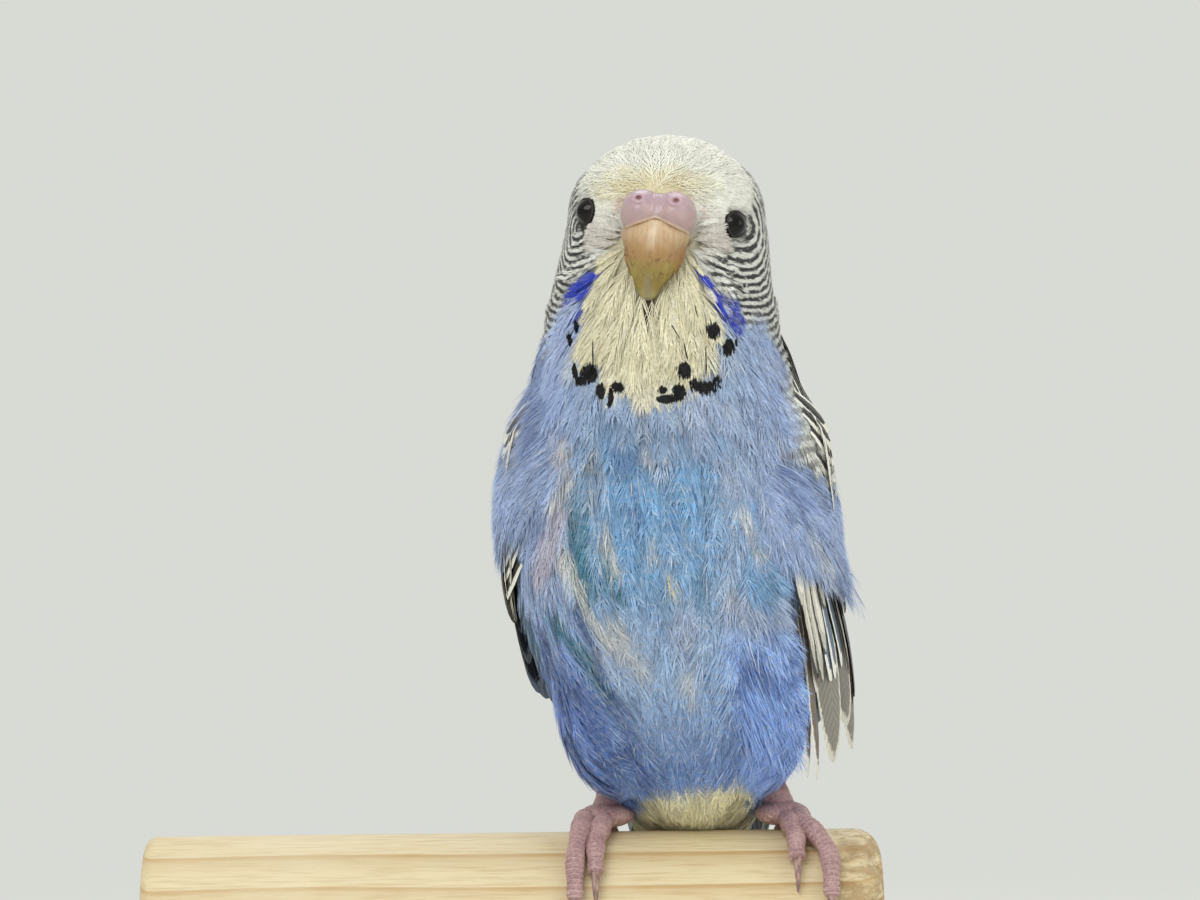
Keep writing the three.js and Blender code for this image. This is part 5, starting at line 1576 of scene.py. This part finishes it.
def eye_axes(side):
    z, a = EYES[side]
    up = body_point(z + 0.4, a) - body_point(z - 0.4, a)
    round_ = body_point(z, a + 1) - body_point(z, a - 1)
    out = unit(np.cross(round_, up))
    out = out * np.sign(np.dot(out, body_point(z, a) - np.array([0, CROWN_Y, z])))
    across = unit(np.cross([0, 0, 1.0], out))
    return body_point(z, a), out, across, np.cross(out, across)


for side in EYES:
    place, out, across, up = eye_axes(side)

    def bead_place(t, angle):
        turn, ring, high = np.radians(angle), np.sin(np.pi * t), np.cos(np.pi * t)
        x, y = ring * np.cos(turn), ring * np.sin(turn)
        p = EYE["radius"] * (x[:, None] * across + y[:, None] * up + high[:, None] * out)
        cornea = EYE["bulge"] * np.exp(-((ring / 0.5) ** 2)) * (high > 0)
        return place - EYE["sink"] * out + p + out * cornea[:, None]

    mesh = finished(ball(bead_place, 40, 40), f"eye_{side}_bead")
    adopt(mesh.name, mesh, [f"eye_{side}"])
    f = Finish(f"eye_{side}_finish", Specular_IOR_Level=0.12, Coat_Weight=0.3, Coat_Roughness=0.03)
    offset = f.vector("SUBTRACT", f.place(), tuple(metres(place)))
    gap = f.vector("LENGTH", f.vector("CROSS_PRODUCT", offset, tuple(out)), out="Value")
    streak = f.noise(f.place(), 3000, 2)
    iris = f.blend(f.step(streak, 0.3, 0.7), "#0c0806", "#160e09")
    colour = f.blend(f.step(gap, 0.00105, 0.0013), "#040404", iris)
    colour = f.blend(f.step(gap, 0.0018, 0.0021), colour, "#1a1513")
    mesh.materials.append(f.give(Base_Color=colour, Roughness=f.step(streak, 0, 1, 0.06, 0.12)))

    # The lid is a thick ring spun round the eye, pinched to an oval and finely beaded.
    bm = bmesh.new()
    made = bmesh.ops.create_circle(bm, segments=12, radius=EYE["thick"] / 1000)
    turned = Matrix.Translation((EYE["lid"] / 1000, 0, 0)) @ Matrix.Rotation(math.pi / 2, 4, "X")
    bmesh.ops.transform(bm, matrix=turned, verts=made["verts"])
    bmesh.ops.spin(bm, geom=bm.edges[:] + bm.verts[:], axis=(0, 0, 1), cent=(0, 0, 0), angle=2 * math.pi,
                   steps=64, use_merge=True)
    for v in bm.verts:
        grain = 1 + 0.03 * math.sin(math.atan2(v.co.y, v.co.x) * 26)
        p = np.array(v.co) * 1000 * (grain, grain * 1.04, 1.3)
        v.co = metres(place + p[0] * across + p[1] * up + (p[2] - EYE["lid_sink"]) * out)
    bmesh.ops.recalc_face_normals(bm, faces=bm.faces)
    lid = adopt(f"lid_{side}", finished(bm, f"lid_{side}"), [])
    f = Finish(f"lid_{side}_finish")
    fleck = f.step(f.noise(f.place(), 2500, 3), 0.35, 0.65)
    f.bump(fleck, 0.3, 0.0001)
    colour = f.blend(fleck, "#121010", "#2a2624")
    lid.data.materials.append(f.give(Base_Color=colour, Roughness=f.step(fleck, 0, 1, 0.5, 0.7)))
print("eyes", sorted(EYES))

# %% [markdown]
# The feet are scaly skin over thin bones, two toes forward and two back round the perch.
# Each toe is a ball of rings laid along an arc over the wood, swollen under every joint
# and ringed by scutes across its top. The leg is made the same way up to the feathers.

# %% Legs and toes
PERCH = {"radius": 12.0, "from": -72.0, "to": 29.3, "left_round": 1.6, "right_round": 3.8}
# Each foot: where it stands, its pad and its ankle. Each toe: how far aside it starts and
# ends, and how far it reaches round the perch in degrees, forward if positive.
FEET = {
    "right": {"x": -10.2, "pad": -8.4, "ankle": -6.4,
              "toes": [(1.5, 2.4, -52), (1.5, 0.2, 58), (-1.1, -2.6, 74), (-1.5, -2.6, -70)]},
    "left": {"x": 19.4, "pad": 15.8, "ankle": 13.0,
             "toes": [(-2.5, -3.4, -52), (-3.0, -2.0, 50), (-1.6, 2.5, 74), (-0.8, 0.2, -70)]},
}


def over_perch(x, angle, height):
    reach, turn = PERCH["radius"] + height, np.radians(angle)
    place = x, -reach * np.sin(turn), -PERCH["radius"] + reach * np.cos(turn)
    return np.stack(np.broadcast_arrays(*place), -1)


# A limb along a line. Radius may depend on t and on the turn round the limb, 90 being on top.
def limb_place(t, angle, line, radius, upward):
    step = 0.004
    point = line(t)
    way = unit(line(t + step) - line(t - step))
    across = unit(np.cross(way, upward(point)))
    turn = np.radians(angle)[:, None]
    round_ = across * np.cos(turn) + np.cross(across, way) * np.sin(turn)
    return point + round_ * radius(t, angle)[:, None]


# Overlapping plates: each starts thick and thins to the next one's edge.
def scutes(t, count):
    phase = (t * count) % 1
    return ease(phase, 0, 0.12) * (1 - 0.75 * ease(phase, 0.12, 1)) - 0.3


BACKWARD = np.array([0, 1.0, 0])


def outward(point):
    return unit(point * (0, 1, 1) + (0, 0, PERCH["radius"]))


limbs = {}
for side, foot in FEET.items():
    for number, (root, spread, reach) in enumerate(foot["toes"], 1):
        start = 4 * np.sign(reach)
        count = round(abs(reach - start) / 3.0)
        thick = (1.5, 1.12) if reach > 0 else (1.2, 0.88)

        def toe_radius(t, angle):
            pads = 0.10 * np.cos(t * 6 * np.pi)
            under = ease(-np.sin(np.radians(angle)), 0, 0.8)
            over = ease(np.sin(np.radians(angle)), -0.1, 0.5)
            size = mix(*thick, t) + pads * (1 + 0.8 * under) + 0.17 * scutes(t, count) * over
            return size * rounded_ends(t, 0.05, 0.07)

        def toe_line(t):
            t = np.asarray(t, float)
            x = foot["x"] + mix(root, spread, ease(t, 0, 0.7))
            return over_perch(x, mix(start, reach, t), GAP + mix(*thick, t) + 0.1)

        form = ball(lambda t, a: limb_place(t, a, toe_line, toe_radius, outward), 28, 190)
        mesh = finished(form, f"toe_{side}_{number}_skin")
        limbs[mesh.name] = adopt(mesh.name, mesh, [f"toe_{side}_{number}"])

        def claw_line(t):
            t = np.asarray(t, float)
            size = mix(0.7, 0.14, np.clip(t, 0, 1) ** 1.3)
            angle = reach + np.sign(reach) * np.degrees(mix(-1.0, 4.4, t) / (PERCH["radius"] + 0.85))
            arch = 0.55 * np.sin(np.pi * np.minimum(1, 1.05 * t)) + 0.3
            return over_perch(foot["x"] + spread, angle, GAP + size + arch)

        def claw_radius(t, angle):
            size = mix(0.7, 0.13, t**1.3) * (1 + 0.12 * np.sin(np.radians(angle)))
            return size * rounded_ends(t, 0.05, 0.03)

        form = ball(lambda t, a: limb_place(t, a, claw_line, claw_radius, outward), 20, 50)
        mesh = finished(form, f"claw_{side}_{number}_horn")
        limbs[mesh.name] = adopt(mesh.name, mesh, [f"claw_{side}_{number}"])

    low, high = np.array([foot["pad"], 0.6, 2.0]), np.array([foot["ankle"], 2.6, 10.5])

    def shank_line(t):
        return low + np.asarray(t, float)[:, None] * (high - low)

    def shank_radius(t, angle):
        fore = ease(-np.sin(np.radians(angle)), -0.6, 0.4)
        return (mix(2.3, 1.5, t) + 0.14 * scutes(t, 7) * fore) * rounded_ends(t, 0.1, 0.1)

    def pad_place(t, angle):
        x, y, z = round_form(t, angle, (3.8, 2.8, 1.75))
        return np.stack([x, y, np.maximum(z, -1.6)], -1) + (foot["pad"], -0.2, 2.3)

    leg = ball(lambda t, a: limb_place(t, a, shank_line, shank_radius, lambda p: BACKWARD), 28, 60)
    mesh = fused_mesh([leg, ball(pad_place, 28, 24)], f"shank_{side}_skin", 0.16, 1)
    limbs[mesh.name] = adopt(mesh.name, mesh, [f"shank_{side}"])
print("limbs", len(limbs))

# %% [markdown]
# The skin of the feet is mauve pink. It is painted darker as shade in the grooves between
# the scutes, paler as a painted highlight on their edges, and dark maroon as painted shade
# at the top of each leg, under the feathers. The claws are grey-brown horn, streaked along
# their length.

# %% The finish of feet and claws
f = Finish("foot_finish", Subsurface_Weight=0.12, Subsurface_Radius=(0.0012, 0.0005, 0.0004))
where = f.place()
blotch = f.step(f.noise(where, 350, 3), 0.35, 0.65)
colour = f.blend(blotch, "#957374", "#ad8a88")
# The top of each leg, where it goes in under the feathers, is painted dark maroon as the shade of the feathers
# over it.
high = f.split(where)[2]
shank = f.step(high, (BIRD[2] + 4.6) / 1000, (BIRD[2] + 6.8) / 1000, 0.0, 0.75)
colour = f.blend(shank, colour, "#6e3836")
# A net of tiny scales covers the skin between the scutes.
net = f.add("TexVoronoi", {"feature": "DISTANCE_TO_EDGE"}, "Distance", Vector=where, Scale=1500.0)
colour = f.blend(f.step(net, 0.02, 0.1, 0.4, 0.0), colour, "#d3b3ae")
colour = f.blend(f.step(f.noise(where, 3200, 2), 0.5, 0.72, 0.0, 0.5), colour, "#8d6467")
# Painted shade in the hollows between the scutes and a painted highlight on their edges, both read from how
# curved the skin is.
crease = f.add("NewGeometry", out="Pointiness")
colour = f.blend(f.step(crease, 0.44, 0.5, 0.85, 0.0), colour, "#74494f")
colour = f.blend(f.step(crease, 0.515, 0.57, 0.0, 0.6), colour, "#d8bab4")
f.bump(f.noise(where, 2400, 3), 0.25, 0.0002)
foot_finish = f.give(Base_Color=colour, Roughness=f.step(blotch, 0, 1, 0.42, 0.58))
f = Finish("claw_finish")
lines = f.noise(f.place((1, 0.3, 0.3)), 2600, 2)
colour = f.blend(f.step(lines, 0.35, 0.65), "#7b6259", "#ae8f86")
f.bump(lines, 0.15, 0.0001)
claw_finish = f.give(Base_Color=colour, Roughness=f.step(lines, 0, 1, 0.3, 0.5))
for name, limb in limbs.items():
    limb.data.materials.append(claw_finish if name.startswith("claw") else foot_finish)
print("feet finished")

# %% [markdown]
# The perch is a short length of planed pine bar. Its end under the bird has been gnawed,
# so it is rounded off with bites. A ball of rings is laid along the bar and both ends, and
# the bites are pressed in by moving the points that lie inside them.

# %% The perch
# Place and size of each large bite.
BITES = [
    ((29.5, -6.5, -3.0), 2.6), ((30.5, 2.0, -1.2), 2.4), ((30.0, -10.5, -10.0), 2.8),
    ((31.0, 7.5, -5.5), 2.5), ((30.6, -8.8, -18.0), 2.7), ((31.5, -3.0, -11.0), 2.2),
]
# Small nibbles cover the last few millimetres of the end.
NIBBLES = []
draw = np.random.default_rng(77)
spots = [draw.uniform(*span, 80) for span in ((22, 30.5), (-0.9, 2.2), (1.1, 1.9))]
for x, turn, size in zip(*spots):
    reach = PERCH["radius"] + (1.5 if x < 27 else 0.6)
    NIBBLES.append(((x, -reach * math.sin(turn), reach * math.cos(turn) - PERCH["radius"]), size))


def perch_place(t, angle):
    low, high, r = PERCH["from"], PERCH["to"], PERCH["radius"]
    first, last = PERCH["left_round"], PERCH["right_round"]
    # t runs over the left end, the bar and the right end by arc length.
    bar_length = high - low - first - last
    spans = np.cumsum([0, r - first, first * np.pi / 2, bar_length, last * np.pi / 2, r - last])
    s = t * spans[-1]
    bend_l = np.clip((s - spans[1]) / (spans[2] - spans[1]), 0, 1) * np.pi / 2
    bend_r = np.clip((s - spans[3]) / (spans[4] - spans[3]), 0, 1) * np.pi / 2
    x = low + first * (1 - np.cos(bend_l)) + np.clip(s - spans[2], 0, spans[3] - spans[2])
    x = x + last * np.sin(bend_r)
    side = r - first * (1 - np.sin(bend_l)) - last * (1 - np.cos(bend_r))
    radius = np.where(s < spans[1], s, np.where(s > spans[4], spans[-1] - s, side))
    turn = np.radians(angle)
    p = np.stack([x, radius * np.cos(turn), radius * np.sin(turn) - r], -1)
    for centre, size in BITES + NIBBLES:
        gap = np.linalg.norm(p - centre, axis=1, keepdims=True)
        inward = unit(np.array([20.0, 0, -r]) - centre)
        p = p + inward * np.maximum(size - gap, 0) * 0.8
    return p


bar = finished(ball(perch_place, 110, 420), "perch_bar")
adopt("perch_bar", bar, ["perch"])
print("perch", len(bar.vertices), "points,", len(BITES + NIBBLES), "bites")

# %% [markdown]
# Pine shows its growth rings as long lines, because they are shells round a heart that
# lies below this bar. The bitten end is darker, where its fibres are torn.

# %% The finish of the perch
f = Finish("pine_finish")
where = f.place()
x, y, z = f.split(where)
drift = f.noise(f.place((0.12, 1, 1)), 55, 2) * 0.006
ring_y, ring_z = y - (BIRD[1] + 9) / 1000 + drift, z - (BIRD[2] - 42) / 1000
from_heart = f.math("SQRT", ring_y * ring_y + ring_z * ring_z)
year = f.math("FRACT", (from_heart + drift) * 330.0)
late = f.step(year, 0.3, 0.9, 0.0, 0.45) + f.step(year, 0.8, 0.93, 0.0, 0.55)
fibre = f.noise(f.place((0.05, 1, 1)), 2600, 3, 0.6)
colour = f.blend(late * f.step(year, 0.94, 0.99, 1.0, 0.0), "#dccba3", "#bf9f6c")
colour = f.blend(f.step(fibre, 0.42, 0.7, 0.0, 0.45), colour, "#b99968")
colour = f.blend(f.step(f.noise(where, 45, 3), 0.4, 0.7, 0.0, 0.35), colour, "#e6dbbd")
torn = f.noise(f.place((0.35, 1, 1)), 520, 4, 0.7)
gnawed = f.step(x, 0.0425, 0.0455) * f.step(torn, 0.36, 0.6)
colour = f.blend(gnawed * 0.7, colour, "#9a7b4e")
f.bump(fibre + gnawed * 3.0, 0.4, 0.0004)
bar.materials.append(f.give(Base_Color=colour, Roughness=f.step(fibre, 0.3, 0.7, 0.5, 0.7)))
print("perch finished")

# %% [markdown]
# The stand holds the cut perch up: a flat wooden base with rounded corners, and two rods.
# The base is a cube whose upright edges are bevelled to round corners and whose top and
# bottom edges get a small second bevel.

# %% The stand
bm = bmesh.new()
bmesh.ops.create_cube(bm, size=1)
bmesh.ops.scale(bm, vec=(BASE["x"] / 1000, BASE["y"] / 1000, BASE["z"] / 1000), verts=bm.verts)
bmesh.ops.translate(bm, vec=(0, 0, BASE["z"] / 2000), verts=bm.verts)
upright = [e for e in bm.edges if abs(e.verts[0].co.z - e.verts[1].co.z) > 0.001]
bmesh.ops.bevel(bm, geom=upright, offset=BASE["corner"] / 1000, affect="EDGES", segments=8, profile=0.5,
                material=-1)
level = [e for e in bm.edges if {round(abs(g.normal.z)) for g in e.link_faces} == {0, 1}]
bmesh.ops.bevel(bm, geom=level, offset=BASE["bevel"] / 1000, affect="EDGES", segments=4, profile=0.5,
                material=-1)
bmesh.ops.recalc_face_normals(bm, faces=bm.faces)
board = finished(bm, "stand_base_board")
adopt(board.name, board, ["stand_base"], smooth=False)
f = Finish("walnut_finish")
grain = f.noise(f.place((0.1, 1, 1), (0, 0, 0.05)), 160, 4, 0.6, 0.4)
lines = f.noise(f.place((0.04, 1, 1)), 1500, 2)
colour = f.blend(f.step(grain, 0.35, 0.65), "#5b3d2a", "#7d583d")
colour = f.blend(f.step(lines, 0.5, 0.7, 0.0, 0.5), colour, "#3c2619")
f.bump(lines, 0.12, 0.0002)
board.materials.append(f.give(Base_Color=colour, Roughness=f.step(grain, 0.3, 0.7, 0.38, 0.55)))
print("stand base", BASE)

# %% [markdown]
# Each rod is a turned steel bar whose top is hollowed to the round of the perch. Here it is
# a ball of rings again: one end flat, the other cut to a saddle a hair below the wood.

# %% The rods
# saddle: how high the hollow top rises round the perch.
ROD = {"aside": 36.0, "y": -6.0, "radius": 2.5, "saddle": 1.0}
f = Finish("brushed_steel", Metallic=1.0)
lines = f.noise(f.place((1, 1, 30)), 700, 2)
colour = f.blend(f.step(lines, 0.3, 0.7), "#a9acb0", "#c4c7ca")
steel = f.give(Base_Color=colour, Roughness=f.step(lines, 0.3, 0.7, 0.28, 0.42))
low, high = BASE["z"] + GAP, PERCH_TOP - 2 * PERCH["radius"] - GAP + ROD["saddle"]


def rod_place(t, angle, x):
    r, turn, round_ = ROD["radius"], np.radians(angle), PERCH["radius"] + GAP
    s, whole = t * (high - low + 2 * r), high - low + 2 * r
    ring = np.clip(np.minimum(s, whole - s), 0, r)
    below = np.sqrt(np.maximum(round_**2 - (ring * np.sin(turn)) ** 2, 0))
    z = np.minimum(np.clip(s - r, 0, high - low) + low, PERCH_TOP - PERCH["radius"] - below)
    return np.stack([x + ring * np.cos(turn), ROD["y"] + ring * np.sin(turn), z], -1) - BIRD


for side, x in (("right", -ROD["aside"]), ("left", ROD["aside"])):
    mesh = finished(ball(lambda t, a: rod_place(t, a, x), 40, 40), f"stand_rod_{side}_steel")
    adopt(mesh.name, mesh, [f"stand_rod_{side}"])
    mesh.materials.append(steel)
print("rods up to", round(high, 2), "mm")

# %% [markdown]
# The picture was taken level with the breast with a long lens, which flattens the form.
# The camera stands 600 mm in front of the perch with the lens that gives the same size.

# %% The camera
lens = bpy.data.cameras.new("camera")
lens.sensor_width, lens.lens = 36, 130.4
camera = bpy.data.objects.new("camera", lens)
camera.location = (0.0123, -0.606, 0.1409)
camera.rotation_euler = (math.radians(90), math.radians(0.7), 0)
PARTS.objects.link(camera)
bpy.context.scene.camera = camera
print("camera at", tuple(round(c, 4) for c in camera.location))


# %% [markdown]
# The light of the picture is soft and comes from above and from the left of the camera, so
# a large lamp stands there, a weaker one opposite and one behind, before a pale backdrop.

# %% Light
AIM = (0.02, 0, 0.13)


def lamp(name, place, size, power):
    light = bpy.data.lights.new(name, "AREA")
    light.shape, light.size, light.energy = "DISK", size, power
    obj = bpy.data.objects.new(name, light)
    obj.location = place
    obj.rotation_euler = (Vector(place) - Vector(AIM)).to_track_quat("Z", "Y").to_euler()
    PARTS.objects.link(obj)


lamp("key", (-0.3, -0.8, 0.8), 0.7, 5.0)
lamp("fill", (0.7, -0.5, 0.3), 0.7, 1.6)
lamp("rim", (0.1, 0.7, 0.7), 0.6, 2.0)
BACKDROP, BACKDROP_LIGHT = (0.985, 1.0, 0.945), 0.70
world = bpy.data.worlds.new("studio")
world.use_nodes = True
world.node_tree.nodes["Background"].inputs["Color"].default_value = (*BACKDROP, 1)
world.node_tree.nodes["Background"].inputs["Strength"].default_value = BACKDROP_LIGHT
bpy.context.scene.world = world
bpy.context.scene.view_settings.view_transform = "Standard"
print("lamps", sorted(light.name for light in bpy.data.lights))

# %% [markdown]
# The floor belongs to the picture only, not to the part. Far out it takes the light of the
# backdrop, so that no horizon shows.

# %% The floor
bm = bmesh.new()
bmesh.ops.create_grid(bm, x_segments=2, y_segments=2, size=3.0)
floor = bpy.data.objects.new("floor", finished(bm, "floor"))
PARTS.objects.link(floor)
f = Finish("floor_finish", Roughness=0.8, Specular_IOR_Level=0.0, Emission_Strength=BACKDROP_LIGHT)
where = f.place()
far = f.step(f.vector("LENGTH", where, out="Value"), 0.25, 0.9)
near = f.blend(f.step(f.noise(where, 6), 0.3, 0.7), "#e6e6e1", "#ecece7")
glow = f.blend(far, "#000000", BACKDROP)
floor.data.materials.append(f.give(Base_Color=f.blend(far, near, "#000000"), Emission_Color=glow))
print("floor", tuple(floor.dimensions))
